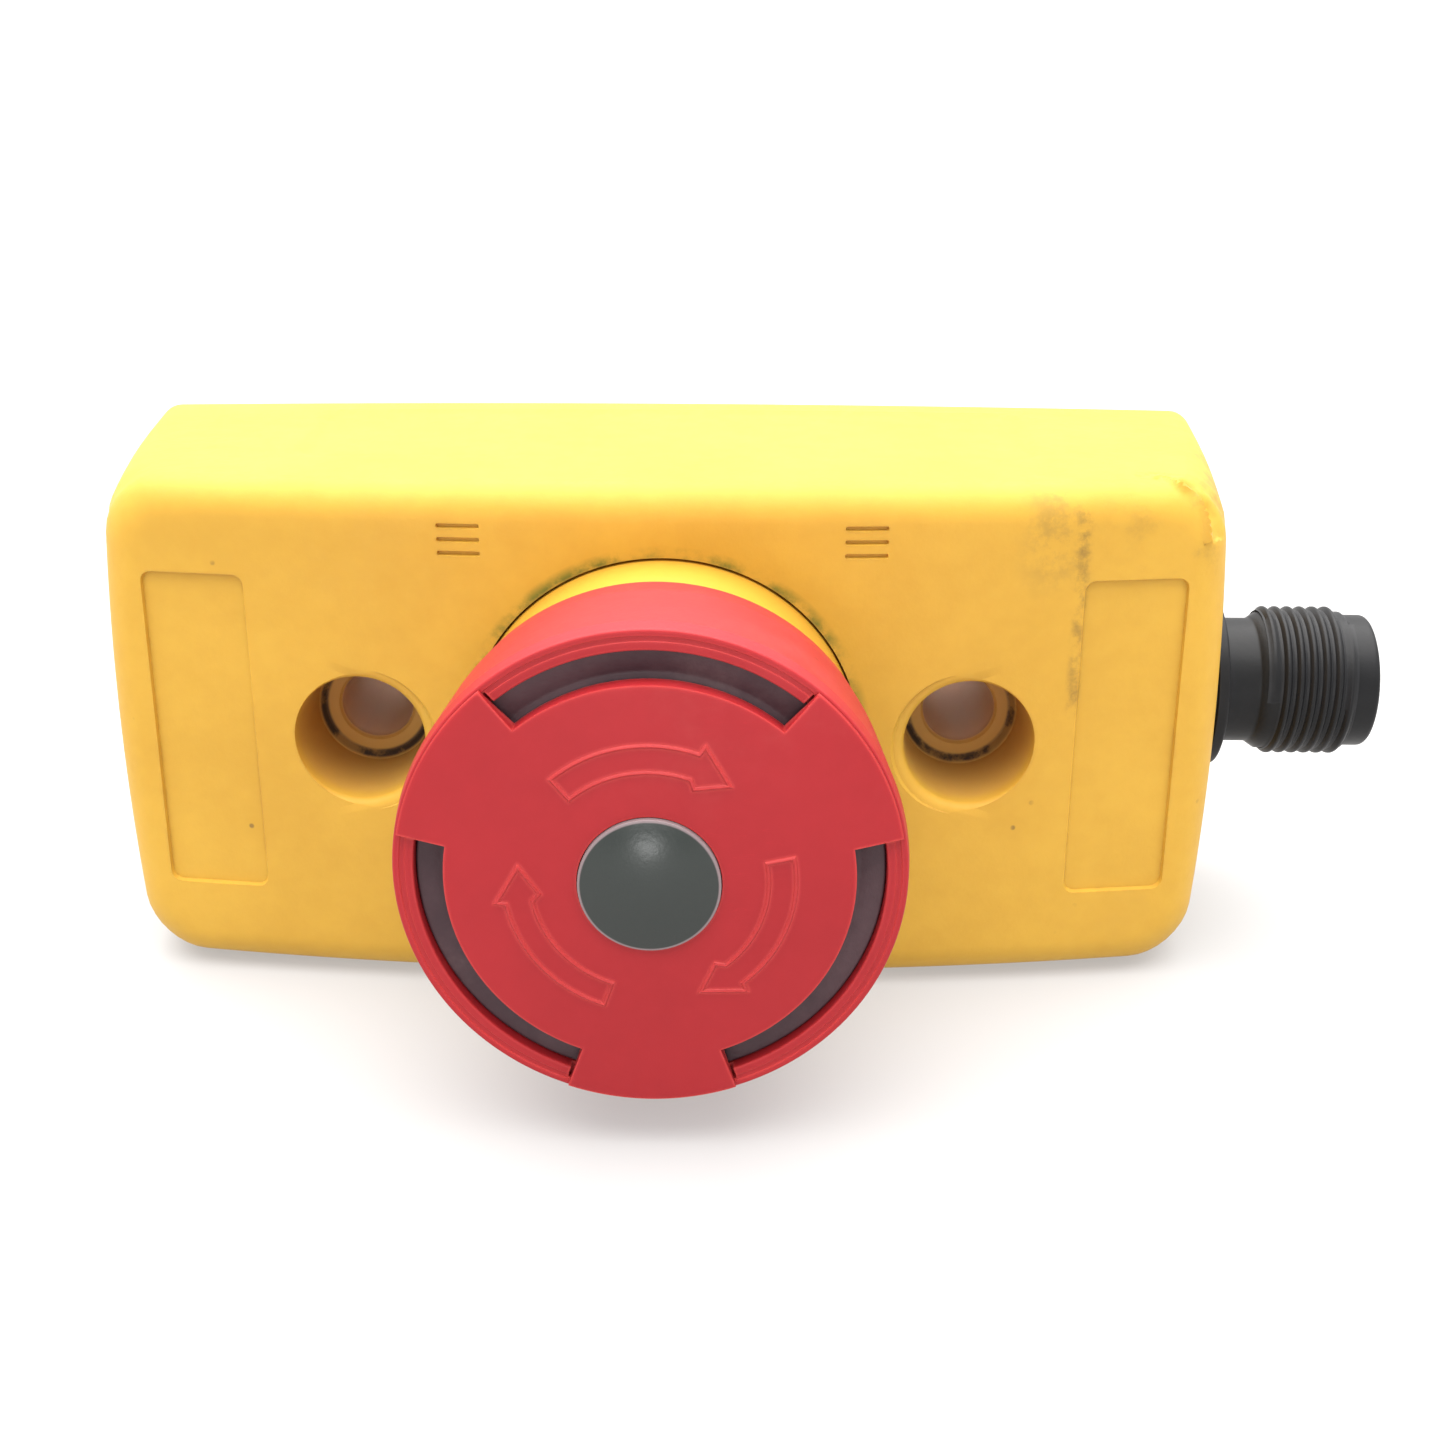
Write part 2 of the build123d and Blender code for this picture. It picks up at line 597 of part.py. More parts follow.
def inlet_seal():
    """Flat rubber ring between the flange and the end wall."""
    x0 = SPOT_X
    x1 = INLET_FLANGE_X[0]
    return along_x(INLET_FLANGE_R - 0.4, x0, x1) - along_x(NECK_R + SEAT, x0 - 1, x1 + 1)


def contact_places():
    """Offsets of the five inlet contacts from the inlet axis."""
    places = [(0.0, 0.0)]
    for n in range(4):
        a = math.radians(45 + 90 * n)
        places.append((CONTACT_PCD_R * math.cos(a), CONTACT_PCD_R * math.sin(a)))
    return places


def inlet_insert():
    """Keyed disc that holds the five contacts."""
    x0 = TIP_X - SOCKET_DEPTH
    body = along_x(SOCKET_R - 0.6 - SEAT, INLET_TAIL + 2.5, x0)
    body += along_x(SOCKET_R - SEAT, x0, x0 + 1.2)
    key = block(x0, x0 + 5.5, -0.55, 0.55, INLET_Z + SOCKET_R - 1.0, INLET_Z + SOCKET_R - 0.15)
    body += key
    for dy, dz in contact_places():
        body -= Pos(0, dy, dz) * along_x(CONTACT_R, INLET_TAIL, TIP_X)
    return body


def inlet_contacts():
    pins = []
    for dy, dz in contact_places():
        pin = Pos(0, dy, dz) * along_x(CONTACT_R, INLET_TAIL + 0.5, CONTACT_TIP_X)
        pins.append(chamfer(pin.edges().group_by(Axis.X)[-1], 0.2))
    return Compound(children=pins)


def lead(place, side, level, y_end):
    """One wire from an inlet contact round a screw column to the board."""
    dy, dz = place
    run = side * (TUBE_R + LEAD_R + 2.0)
    z = LEAD_Z + level * LEAD_STEP
    x_end = BOARD_X[1] - 1.0
    path = Polyline((INLET_TAIL + 0.5, dy, INLET_Z + dz), (HALF_SPACING + 11, dy, INLET_Z + dz),
                    (HALF_SPACING + 6, run, z), (HALF_SPACING - 5, run, z),
                    (x_end, (run + y_end) / 2 + side, z), (x_end, y_end, z),
                    (x_end, y_end, BOARD_Z + BOARD_T))
    section = Plane(origin=path @ 0, z_dir=path % 0) * Circle(LEAD_R)
    return sweep(section, path=path, transition=Transition.ROUND)


def leads():
    """Five wires, three round one side of the column and two round the other."""
    wires = []
    routes = ((1, 1, 2.4), (1, 2, 0.0), (-1, 2, -2.5), (-1, 0, -5.0), (1, 0, 5.0))
    for place, (side, level, y_end) in zip(contact_places(), routes):
        wires.append(lead(place, side, level, y_end))
    return Compound(children=wires)


def return_spring():
    return coil(RETURN_R, RETURN_WIRE, SPRING_SEAT_Z, CARRIER_TOP - 0.9, RETURN_TURNS)


def twist_spring():
    return coil(TWIST_R, TWIST_WIRE, HUB_Z + WEB_T, COLLAR_TOP, TWIST_TURNS)


NODES = {
    "housing": housing,
    "collar": collar,
    "collar_seal": collar_seal,
    "stem_seal": stem_seal,
    "back_fill": back_fill,
    "cap_skirt": cap_skirt,
    "cap_face": cap_face,
    "slot_ring": slot_ring,
    "lens": lens,
    "light_guide": light_guide,
    "stem": stem,
    "stem_clip": stem_clip,
    "twist_spring": twist_spring,
    "return_spring": return_spring,
    "contact_carrier": carrier,
    "contact_bridges": bridges,
    "contact_springs": contact_springs,
    "fixed_contacts": fixed_contacts,
    "contact_block": contact_block,
    "latch_pin_left": lambda: latch_pin(-1),
    "latch_pin_right": lambda: latch_pin(1),
    "latch_plates": latch_plates,
    "circuit_board": circuit_board,
    "lamp": led,
    "board_resistors": board_parts,
    "inlet_shell": inlet_shell,
    "inlet_nut": inlet_nut,
    "inlet_seal": inlet_seal,
    "inlet_insert": inlet_insert,
    "inlet_contacts": inlet_contacts,
    "leads": leads,
}


def main():
    os.makedirs("parts", exist_ok=True)
    for name, make in NODES.items():
        solids = [solid.rotate(Axis.X, 90) for solid in make().solids()]
        shape = Compound(children=solids) if len(solids) > 1 else solids[0]
        shape.label = name
        export_step(shape, f"parts/{name}.step")


main()
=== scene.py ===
import json
import math

import bmesh
import bpy
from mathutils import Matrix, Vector


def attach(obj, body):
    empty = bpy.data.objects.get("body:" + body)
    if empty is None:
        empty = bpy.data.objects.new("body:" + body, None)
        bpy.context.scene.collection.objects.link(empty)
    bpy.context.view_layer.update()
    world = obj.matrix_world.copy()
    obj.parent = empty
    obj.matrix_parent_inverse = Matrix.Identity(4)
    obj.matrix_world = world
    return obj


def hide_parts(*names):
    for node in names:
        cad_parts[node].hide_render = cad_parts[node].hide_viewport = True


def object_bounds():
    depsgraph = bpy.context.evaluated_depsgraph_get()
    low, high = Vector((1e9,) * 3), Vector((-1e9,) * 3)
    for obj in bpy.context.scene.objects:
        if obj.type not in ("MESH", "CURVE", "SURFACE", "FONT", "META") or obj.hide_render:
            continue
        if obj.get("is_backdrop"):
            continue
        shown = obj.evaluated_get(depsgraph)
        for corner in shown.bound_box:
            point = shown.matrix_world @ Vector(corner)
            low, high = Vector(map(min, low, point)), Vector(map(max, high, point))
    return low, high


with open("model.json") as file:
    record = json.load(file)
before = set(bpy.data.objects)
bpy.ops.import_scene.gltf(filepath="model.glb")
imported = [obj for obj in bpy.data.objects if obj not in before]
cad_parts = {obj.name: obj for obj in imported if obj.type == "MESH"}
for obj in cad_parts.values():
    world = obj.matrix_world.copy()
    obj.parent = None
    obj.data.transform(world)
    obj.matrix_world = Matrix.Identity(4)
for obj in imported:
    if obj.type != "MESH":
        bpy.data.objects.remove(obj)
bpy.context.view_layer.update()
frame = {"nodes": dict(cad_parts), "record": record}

bl_info = {
    "name": "Stop button looks",
    "version": (1, 0, 0),
    "blender": (4, 5, 0),
    "location": "View3D > Sidebar > Stop button",
    "description": "Builds the visible pieces of an emergency stop button, its finishes and the stage",
    "category": "Object",
}

MM = 0.001

# Shared sizes in millimetres, in the working frame: x along, y across, z out of the mounting face.
EDGE_DEPTH = 23.6
ARCH = 3.2
BASE_HALF_L = 43.4
HALF_L = 41.4
BASE_HALF_W = 19.8
FRONT_HALF_W = 19.4
BASE_CORNER = 1.8
FRONT_CORNER = 4.8
WALL = 2.0
HOLE_X = 22.5
BORE_R = 2.75
POCKET_R = 4.8
SEAT_Z = 18.2
COLUMN_R = 6.4
ARCH_R = (HALF_L ** 2 + ARCH ** 2) / (2 * ARCH)
ARCH_C = EDGE_DEPTH + ARCH - ARCH_R
FACE_Z = 49.75
FACE_R = 16.42
FACE_RISE = 1.05
FACE_BALL = (FACE_R ** 2 + FACE_RISE ** 2) / (2 * FACE_RISE)
LOBE_R = 16.06
SLOT_INNER_R = 12.94
LENS_R = 4.5
INLET_Z = 11.0


def arch_z(x):
    return ARCH_C + math.sqrt(ARCH_R ** 2 - x * x)


def face_z(r):
    return FACE_Z - FACE_BALL + math.sqrt(FACE_BALL ** 2 - r * r)


def button_place(x, y, z):
    """Working frame to the delivered frame, in metres."""
    return (x * MM, -z * MM, y * MM)


def inlet_place(x, y, z):
    """A piece turned about the inlet axis: z is the distance along X."""
    return (z * MM, -(INLET_Z + x) * MM, y * MM)


# ---- meshes -------------------------------------------------------------------
def make_object(name, verts, faces, place=button_place, angle=40.0):
    mesh = bpy.data.meshes.new(name)
    mesh.from_pydata([place(*v) for v in verts], [], faces)
    bm = bmesh.new()
    bm.from_mesh(mesh)
    bmesh.ops.remove_doubles(bm, verts=bm.verts, dist=1e-7)
    bmesh.ops.dissolve_degenerate(bm, edges=bm.edges, dist=1e-7)
    bmesh.ops.recalc_face_normals(bm, faces=bm.faces)
    bm.to_mesh(mesh)
    bm.free()
    obj = bpy.data.objects.new(name, mesh)
    bpy.context.scene.collection.objects.link(obj)
    shade(obj, angle)
    return obj


def shade(obj, angle):
    obj.data.polygons.foreach_set("use_smooth", [True] * len(obj.data.polygons))
    obj.data.set_sharp_from_angle(angle=math.radians(angle))


def rounded(points, steps=5):
    """Closed profile with its corners rounded; each point is (r, z, rounding)."""
    out = []
    n = len(points)
    for i, (r, z, size) in enumerate(points):
        if size <= 0:
            out.append((r, z))
            continue
        p = Vector((r, z))
        a = Vector(points[i - 1][:2]) - p
        b = Vector(points[(i + 1) % n][:2]) - p
        turn = a.angle(b)
        back = min(size / math.tan(turn / 2), 0.49 * a.length, 0.49 * b.length)
        p0 = p + a.normalized() * back
        p1 = p + b.normalized() * back
        for k in range(steps + 1):
            t = k / steps
            q = p0.lerp(p, t).lerp(p.lerp(p1, t), t)
            out.append((q.x, q.y))
    return out


def lathe(name, profile, place=button_place, segments=192, angle=35.0):
    """Turned solid from a closed profile of (radius, height); radius 0 closes on the axis."""
    verts, faces, rings = [], [], []
    for r, z in profile:
        if r <= 1e-6:
            rings.append([len(verts)] * segments)
            verts.append((0, 0, z))
        else:
            rings.append(list(range(len(verts), len(verts) + segments)))
            for k in range(segments):
                a = 2 * math.pi * k / segments
                verts.append((r * math.cos(a), r * math.sin(a), z))
    n = len(profile)
    for i in range(n):
        a, b = rings[i], rings[(i + 1) % n]
        if a[0] == a[1] and b[0] == b[1]:
            continue
        for k in range(segments):
            j = (k + 1) % segments
            quad = [a[k], a[j], b[j], b[k]]
            face = list(dict.fromkeys(quad))
            if len(face) > 2:
                faces.append(face)
    return make_object(name, verts, faces, place, angle)


def outline(half_l, half_w, corner, count=28, end_bulge=0.9, side_bulge=0.35):
    """Points of the rounded rectangle with bowed sides."""
    pts = []
    x, y = half_l - end_bulge, half_w - side_bulge

    def bow(v, half, bulge):
        return bulge * (1 - (v / half) ** 2)

    for sx, sy, a0 in ((1, 1, 0), (-1, 1, 90), (-1, -1, 180), (1, -1, 270)):
        cx, cy = sx * (x - corner), sy * (y - corner)
        for k in range(9):
            a = math.radians(a0 + 90 * k / 8)
            px, py = cx + corner * math.cos(a), cy + corner * math.sin(a)
            wx = abs(math.cos(a)) ** 2
            wy = abs(math.sin(a)) ** 2
            px += sx * wx * bow(py, y, end_bulge)
            py += sy * wy * bow(px, x, side_bulge)
            pts.append((px, py))
        if a0 in (0, 180):
            steps = count * 2
            for k in range(1, steps):
                qx = cx - sx * 2 * (x - corner) * k / steps
                pts.append((qx, sy * (y + bow(qx, x, side_bulge))))
        else:
            steps = count
            for k in range(1, steps):
                qy = cy - sy * 2 * (y - corner) * k / steps
                pts.append((sx * (x + bow(qy, y, end_bulge)), qy))
    return pts


def section(z, inset):
    """Outline of the housing at height z, moved in by inset."""
    t = z / EDGE_DEPTH
    half_l = BASE_HALF_L + (HALF_L - BASE_HALF_L) * t - inset
    half_w = BASE_HALF_W + (FRONT_HALF_W - BASE_HALF_W) * t - inset
    corner = BASE_CORNER + (FRONT_CORNER - BASE_CORNER) * max(t, 0.0) ** 3 - 0.6 * inset
    return outline(half_l, half_w, max(corner, 0.6))


def block_solid(name, inset, low, drop, edge):
    """The housing body: walls, rounded front edge and arched front, closed at the back."""
    rings = []
    levels = [low, 2.0, 6.0, 10.0, 13.0, 16.0, 18.0, 20.0]
    for z in levels:
        rings.append([(x, y, z) for x, y in section(z, inset)])
    steps = 9
    for k in range(steps + 1):
        a = math.pi / 2 * k / steps
        ring = []
        pull = edge * (1 - math.cos(a))
        for x, y in section(EDGE_DEPTH - edge * 0.5, inset + pull):
            ring.append((x, y, arch_z(x) - drop - edge * (1 - math.sin(a))))
        rings.append(ring)
    last = rings[-1]
    for s in (0.94, 0.86, 0.76, 0.64, 0.5, 0.36, 0.22, 0.1):
        rings.append([(x * s, y * s, arch_z(x * s) - drop) for x, y, _ in last])
    verts = [v for ring in rings for v in ring]
    n = len(rings[0])
    faces = []
    for i in range(len(rings) - 1):
        for k in range(n):
            j = (k + 1) % n
            faces.append([i * n + k, i * n + j, (i + 1) * n + j, (i + 1) * n + k])
    top = len(verts)
    verts.append((0, 0, arch_z(0) - drop))
    base = (len(rings) - 1) * n
    for k in range(n):
        faces.append([base + k, base + (k + 1) % n, top])
    faces.append(list(range(n - 1, -1, -1)))
    return make_object(name, verts, faces)


def cut(target, tool, operation="DIFFERENCE"):
    """Boolean that is applied at once; the tool is removed."""
    modifier = target.modifiers.new("cut", "BOOLEAN")
    modifier.operation = operation
    modifier.solver = "EXACT"
    modifier.object = tool
    before = [max(v.co[i] for v in target.data.vertices) for i in range(3)]
    bake(target)
    after = [max(v.co[i] for v in target.data.vertices) for i in range(3)]
    if operation == "DIFFERENCE" and any(b > a + 1e-5 for a, b in zip(before, after)):
        raise RuntimeError("a cut with " + tool.name + " added to " + target.name)
    bpy.data.objects.remove(tool)


def bake(obj):
    """Replaces the mesh by what its modifiers make."""
    dg = bpy.context.evaluated_depsgraph_get()
    dg.update()
    mesh = bpy.data.meshes.new_from_object(obj.evaluated_get(dg))
    obj.modifiers.clear()
    old = obj.data
    obj.data = mesh
    bpy.data.meshes.remove(old)


def pocket(name, x0, x1, y0, y1, corner, depth):
    """Tool for a shallow recess whose floor follows the arched front."""
    mid = ((x0 + x1) / 2, (y0 + y1) / 2)
    hx, hy = (x1 - x0) / 2, (y1 - y0) / 2
    pts = []
    for sx, sy, a0 in ((1, 1, 0), (-1, 1, 90), (-1, -1, 180), (1, -1, 270)):
        for k in range(5):
            a = math.radians(a0 + 90 * k / 4)
            pts.append((mid[0] + sx * (hx - corner) + corner * math.cos(a),
                        mid[1] + sy * (hy - corner) + corner * math.sin(a)))
    n = len(pts)
    slope = depth * 0.35
    floor = [(mid[0] + (x - mid[0]) * (1 - slope / hx), mid[1] + (y - mid[1]) * (1 - slope / hy))
             for x, y in pts]
    verts = [(x, y, arch_z(x) - depth) for x, y in floor]
    verts += [(x, y, arch_z(x) + 0.02) for x, y in pts]
    verts += [(x, y, arch_z(x) + 3) for x, y in pts]
    faces = [list(range(n - 1, -1, -1)), list(range(2 * n, 3 * n))]
    for ring in (0, 1):
        for k in range(n):
            j = (k + 1) % n
            faces.append([ring * n + k, ring * n + j, (ring + 1) * n + j, (ring + 1) * n + k])
    return make_object(name, verts, faces)


def repeat_tree():
    """Copies a piece in steps along a line, each turned by the same angle about the button axis."""
    tree = bpy.data.node_groups.new("Repeat in steps", "GeometryNodeTree")
    face = tree.interface
    face.new_socket("Geometry", in_out="INPUT", socket_type="NodeSocketGeometry")
    face.new_socket("Count", in_out="INPUT", socket_type="NodeSocketInt")
    face.new_socket("Step", in_out="INPUT", socket_type="NodeSocketVector")
    face.new_socket("Turn", in_out="INPUT", socket_type="NodeSocketFloat")
    face.new_socket("Material", in_out="INPUT", socket_type="NodeSocketMaterial")
    face.new_socket("Geometry", in_out="OUTPUT", socket_type="NodeSocketGeometry")
    new, link = tree.nodes.new, tree.links.new
    gin, gout = new("NodeGroupInput"), new("NodeGroupOutput")
    line = new("GeometryNodeMeshLine")
    line.mode, line.count_mode = "OFFSET", "TOTAL"
    link(gin.outputs["Count"], line.inputs["Count"])
    link(gin.outputs["Step"], line.inputs["Offset"])
    angle = new("ShaderNodeMath")
    angle.operation = "MULTIPLY"
    link(new("GeometryNodeInputIndex").outputs[0], angle.inputs[0])
    link(gin.outputs["Turn"], angle.inputs[1])
    euler = new("ShaderNodeCombineXYZ")
    link(angle.outputs[0], euler.inputs[1])
    rotation = new("FunctionNodeEulerToRotation")
    link(euler.outputs[0], rotation.inputs[0])
    copies = new("GeometryNodeInstanceOnPoints")
    link(line.outputs[0], copies.inputs["Points"])
    link(gin.outputs["Geometry"], copies.inputs["Instance"])
    link(rotation.outputs[0], copies.inputs["Rotation"])
    real = new("GeometryNodeRealizeInstances")
    link(copies.outputs[0], real.inputs[0])
    paint = new("GeometryNodeSetMaterial")
    link(real.outputs[0], paint.inputs["Geometry"])
    link(gin.outputs["Material"], paint.inputs["Material"])
    link(paint.outputs[0], gout.inputs[0])
    return tree


def repeat(obj, count, step=(0, 0, 0), turn=0.0, material=None):
    """Runs the repeating tree on a piece; step is in the delivered frame, mm, and turn in degrees."""
    tree = bpy.data.node_groups.get("Repeat in steps") or repeat_tree()
    modifier = obj.modifiers.new("repeat", "NODES")
    modifier.node_group = tree
    values = {"Count": count, "Step": [v * MM for v in step], "Turn": math.radians(turn),
              "Material": material}
    for item in tree.interface.items_tree:
        if item.in_out == "INPUT" and item.name in values:
            modifier[item.identifier] = values[item.name]
    bake(obj)
    return obj


def moved(obj, x):
    """Moves the vertices along X."""
    for v in obj.data.vertices:
        v.co.x += x * MM
    return obj


def label_tool():
    """Tool for the shallow blank recess on the upper long side."""
    half_x, mid_z, half_z, corner = 26.0, 9.8, 5.6, 2.0
    pts = []
    for sx, sz, a0 in ((1, 1, 0), (-1, 1, 90), (-1, -1, 180), (1, -1, 270)):
        for k in range(9):
            a = math.radians(a0 + 90 * k / 8)
            pts.append((sx * half_x + corner * math.cos(a),
                        mid_z + sz * half_z + corner * math.sin(a)))
        if a0 in (0, 180):
            pts += [(sx * (half_x - 2 * half_x * k / 24), mid_z + sz * (half_z + corner))
                    for k in range(1, 24)]

    def wall(x, z, out):
        t = z / EDGE_DEPTH
        half = 19.8 - 0.4 * t - 0.35
        return half + 0.35 * (1 - (x / (42.5 - 2 * t)) ** 2) + out

    n = len(pts)
    inner = [(x * 0.98, mid_z + (z - mid_z) * 0.92) for x, z in pts]
    verts = [(x, wall(x, z, -0.2), z) for x, z in inner]
    verts += [(x, wall(x, z, 0.02), z) for x, z in pts]
    verts += [(x, wall(x, z, 2.0), z) for x, z in pts]

    def cap(start):
        """Strips across the tool between its two long sides."""
        pairs = [(8 + k, (n // 2 + 32 - k) % n) for k in range(25)]
        strips = [[start + a[0], start + b[0], start + b[1], start + a[1]]
                  for a, b in zip(pairs, pairs[1:])]
        left = [start + i for i in range(8 + 24, n // 2 + 9)]
        right = [start + i % n for i in range(n // 2 + 32, n + 9)]
        return strips + [left, right]

    faces = cap(0) + cap(2 * n)
    for ring in (0, 1):
        for k in range(n):
            j = (k + 1) % n
            faces.append([ring * n + k, ring * n + j, (ring + 1) * n + j, (ring + 1) * n + k])
    return make_object("label_tool", verts, faces)


def tear(obj):
    """The knocked corner: a gouge along the upper front edge and the lip of plastic it pushed up."""
    bm = bmesh.new()
    bm.from_mesh(obj.data)
    middle_of_tear = Vector((0.0388, -0.0228, 0.0182))
    longest_edge = 0.00030

    def near(co, reach):
        return (co - middle_of_tear).length < reach

    for _ in range(3):
        edges = [e for e in bm.edges if e.calc_length() > longest_edge
                 and any(near(v.co, 0.0058) for v in e.verts)]
        bmesh.ops.subdivide_edges(bm, edges=edges, cuts=1, use_grid_fill=True)
    bmesh.ops.triangulate(bm, faces=[f for f in bm.faces if len(f.verts) > 4])
    bm.normal_update()
    shift = {}
    for v in bm.verts:
        x, z = v.co.x / MM, -v.co.y / MM
        if not near(v.co, 0.0062) or v.co.z < 0.015:
            continue
        run = (x - 33.9) / 5.6
        if not 0 < run < 1.2:
            continue
        middle = 20.9 + 1.7 * run + 0.2 * math.sin(run * 15)
        width = 0.22 + 0.45 * run
        off = (z - middle) / width
        fade = min(1.0, run * 3) * min(1.0, (1.2 - run) * 5)
        groove = -0.75 * math.exp(-off * off)
        lip = 0.55 * math.exp(-((off - 1.6) / 0.55) ** 2) * (0.4 + 0.6 * math.sin(3 + run * 9) ** 2)
        second = -0.30 * math.exp(-((off + 2.6) / 0.5) ** 2) * max(0.0, 1 - 1.4 * run)
        shift[v] = v.normal * (groove + lip + second) * fade * MM
    for v, d in shift.items():
        v.co += d
        v.co.x = min(v.co.x, 0.0433)
        v.co.z = min(v.co.z, 0.01975)
    bm.to_mesh(obj.data)
    bm.free()


def helix_ridge(name, x0, x1, pitch, root, crest, place=inlet_place):
    """One continuous thread ridge that fades in and out at its two ends."""
    shape = [(0.0, 0.0), (0.16, 0.12), (0.36, 0.88), (0.44, 1.0), (0.56, 1.0), (0.64, 0.88),
             (0.84, 0.12), (1.0, 0.0), (0.5, -0.6)]
    per = 96
    count = int((x1 - x0 - pitch) / pitch * per)
    verts, faces, m = [], [], len(shape)
    for i in range(count + 1):
        a = 2 * math.pi * i / per
        fade = min(1.0, i / 24, (count - i) / 24)
        for u, v in shape:
            r = root + (crest - root) * v * (fade if v > 0 else 1.0) - 0.02
            z = x0 + pitch * (i / per + u)
            verts.append((r * math.cos(a), r * math.sin(a), z))
    for i in range(count):
        for k in range(m):
            j = (k + 1) % m
            faces.append([i * m + k, i * m + j, (i + 1) * m + j, (i + 1) * m + k])
    faces += [list(range(m)), list(range(count * m, (count + 1) * m))]
    return make_object(name, verts, faces, place, 50)


def finish_piece(obj, body, material, nodes):
    obj.data.materials.clear()
    obj.data.materials.append(material)
    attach(obj, body)
    if nodes:
        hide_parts(*nodes)
    return obj


# ---- shared effects -----------------------------------------------------------
def new_group(name, inputs, outputs):
    tree = bpy.data.node_groups.new(name, "ShaderNodeTree")
    for label, kind, default in inputs:
        item = tree.interface.new_socket(label, in_out="INPUT", socket_type=kind)
        item.default_value = default
    for label, kind in outputs:
        tree.interface.new_socket(label, in_out="OUTPUT", socket_type=kind)
    return tree, tree.nodes.new("NodeGroupInput"), tree.nodes.new("NodeGroupOutput")


def add(tree, kind, links=None, **settings):
    node = tree.nodes.new(kind)
    for key, value in settings.items():
        if key.startswith("in_"):
            node.inputs[int(key[3:])].default_value = value
        else:
            setattr(node, key, value)
    for index, source in (links or {}).items():
        tree.links.new(source, node.inputs[index])
    return node


def maths(tree, operation, a, b=None, clamp=False):
    node = tree.nodes.new("ShaderNodeMath")
    node.operation = operation
    node.use_clamp = clamp
    for i, v in enumerate((a, b)):
        if v is None:
            continue
        if isinstance(v, (int, float)):
            node.inputs[i].default_value = v
        else:
            tree.links.new(v, node.inputs[i])
    return node.outputs[0]


def times(tree, a, b):
    return maths(tree, "MULTIPLY", a, b)


def plus(tree, a, b):
    return maths(tree, "ADD", a, b)


def minus(tree, a, b):
    return maths(tree, "SUBTRACT", a, b)


def spread(tree, value, low, high, to_low=0.0, to_high=1.0):
    node = add(tree, "ShaderNodeMapRange", {0: value}, in_1=low, in_2=high, in_3=to_low,
               in_4=to_high)
    node.interpolation_type = "SMOOTHSTEP"
    return node.outputs[0]


def noise(tree, vector, scale, detail=4.0, rough=0.55):
    node = add(tree, "ShaderNodeTexNoise", {0: vector}, in_2=scale, in_3=detail, in_4=rough)
    return node.outputs[0]


def mix(tree, factor, a, b):
    node = tree.nodes.new("ShaderNodeMix")
    node.data_type = "RGBA"
    for index, v in ((0, factor), (6, a), (7, b)):
        if isinstance(v, (int, float, tuple)):
            node.inputs[index].default_value = v
        else:
            tree.links.new(v, node.inputs[index])
    return node.outputs[2]


def grain_group():
    """Moulded plastic: fine grain and slow unevenness as a height, and a tint."""
    tree, gin, gout = new_group("Moulded grain", [("Grain scale", "NodeSocketFloat", 2600.0),
                                                  ("Grain depth", "NodeSocketFloat", 0.5)],
                                [("Height", "NodeSocketFloat"), ("Tint", "NodeSocketFloat")])
    co = add(tree, "ShaderNodeTexCoord").outputs["Object"]
    fine = add(tree, "ShaderNodeTexNoise", {0: co, 2: gin.outputs[0]}, in_3=3.0,
               in_4=0.6).outputs[0]
    slow = noise(tree, co, 90.0, 4.0, 0.6)
    mid = noise(tree, co, 700.0, 4.0, 0.6)
    height = times(tree, fine, gin.outputs[1])
    height = plus(tree, height, times(tree, mid, 0.35))
    height = plus(tree, height, times(tree, slow, 0.6))
    tint = plus(tree, times(tree, slow, 0.7), times(tree, mid, 0.3))
    tree.links.new(height, gout.inputs[0])
    tree.links.new(tint, gout.inputs[1])


def dirt_group():
    """Specks, smudges and fine scratches, as three masks."""
    tree, gin, gout = new_group("Handling marks", [("Amount", "NodeSocketFloat", 0.5)],
                                [("Specks", "NodeSocketFloat"), ("Smudges", "NodeSocketFloat"),
                                 ("Scratches", "NodeSocketFloat")])
    co = add(tree, "ShaderNodeTexCoord").outputs["Object"]
    cells = add(tree, "ShaderNodeTexVoronoi", {0: co}, in_2=420.0)
    near = spread(tree, cells.outputs["Distance"], 0.05, 0.11, 1.0, 0.0)
    rare = spread(tree, noise(tree, co, 130.0, 2.0), 0.60, 0.66)
    specks = times(tree, near, rare)
    smudge = spread(tree, noise(tree, co, 62.0, 7.0, 0.68), 0.56, 0.80)
    stretch = add(tree, "ShaderNodeMapping", {0: co})
    stretch.inputs["Rotation"].default_value = (0.3, 0.5, 0.4)
    stretch.inputs["Scale"].default_value = (1.0, 14.0, 9.0)
    lines = noise(tree, stretch.outputs[0], 170.0, 2.0, 0.5)
    thin = spread(tree, maths(tree, "ABSOLUTE", minus(tree, lines, 0.5)), 0.0, 0.006, 1.0, 0.0)
    scratch = times(tree, thin, spread(tree, noise(tree, co, 75.0, 2.0), 0.58, 0.70))
    for i, v in enumerate((specks, smudge, scratch)):
        tree.links.new(times(tree, v, gin.outputs[0]), gout.inputs[i])


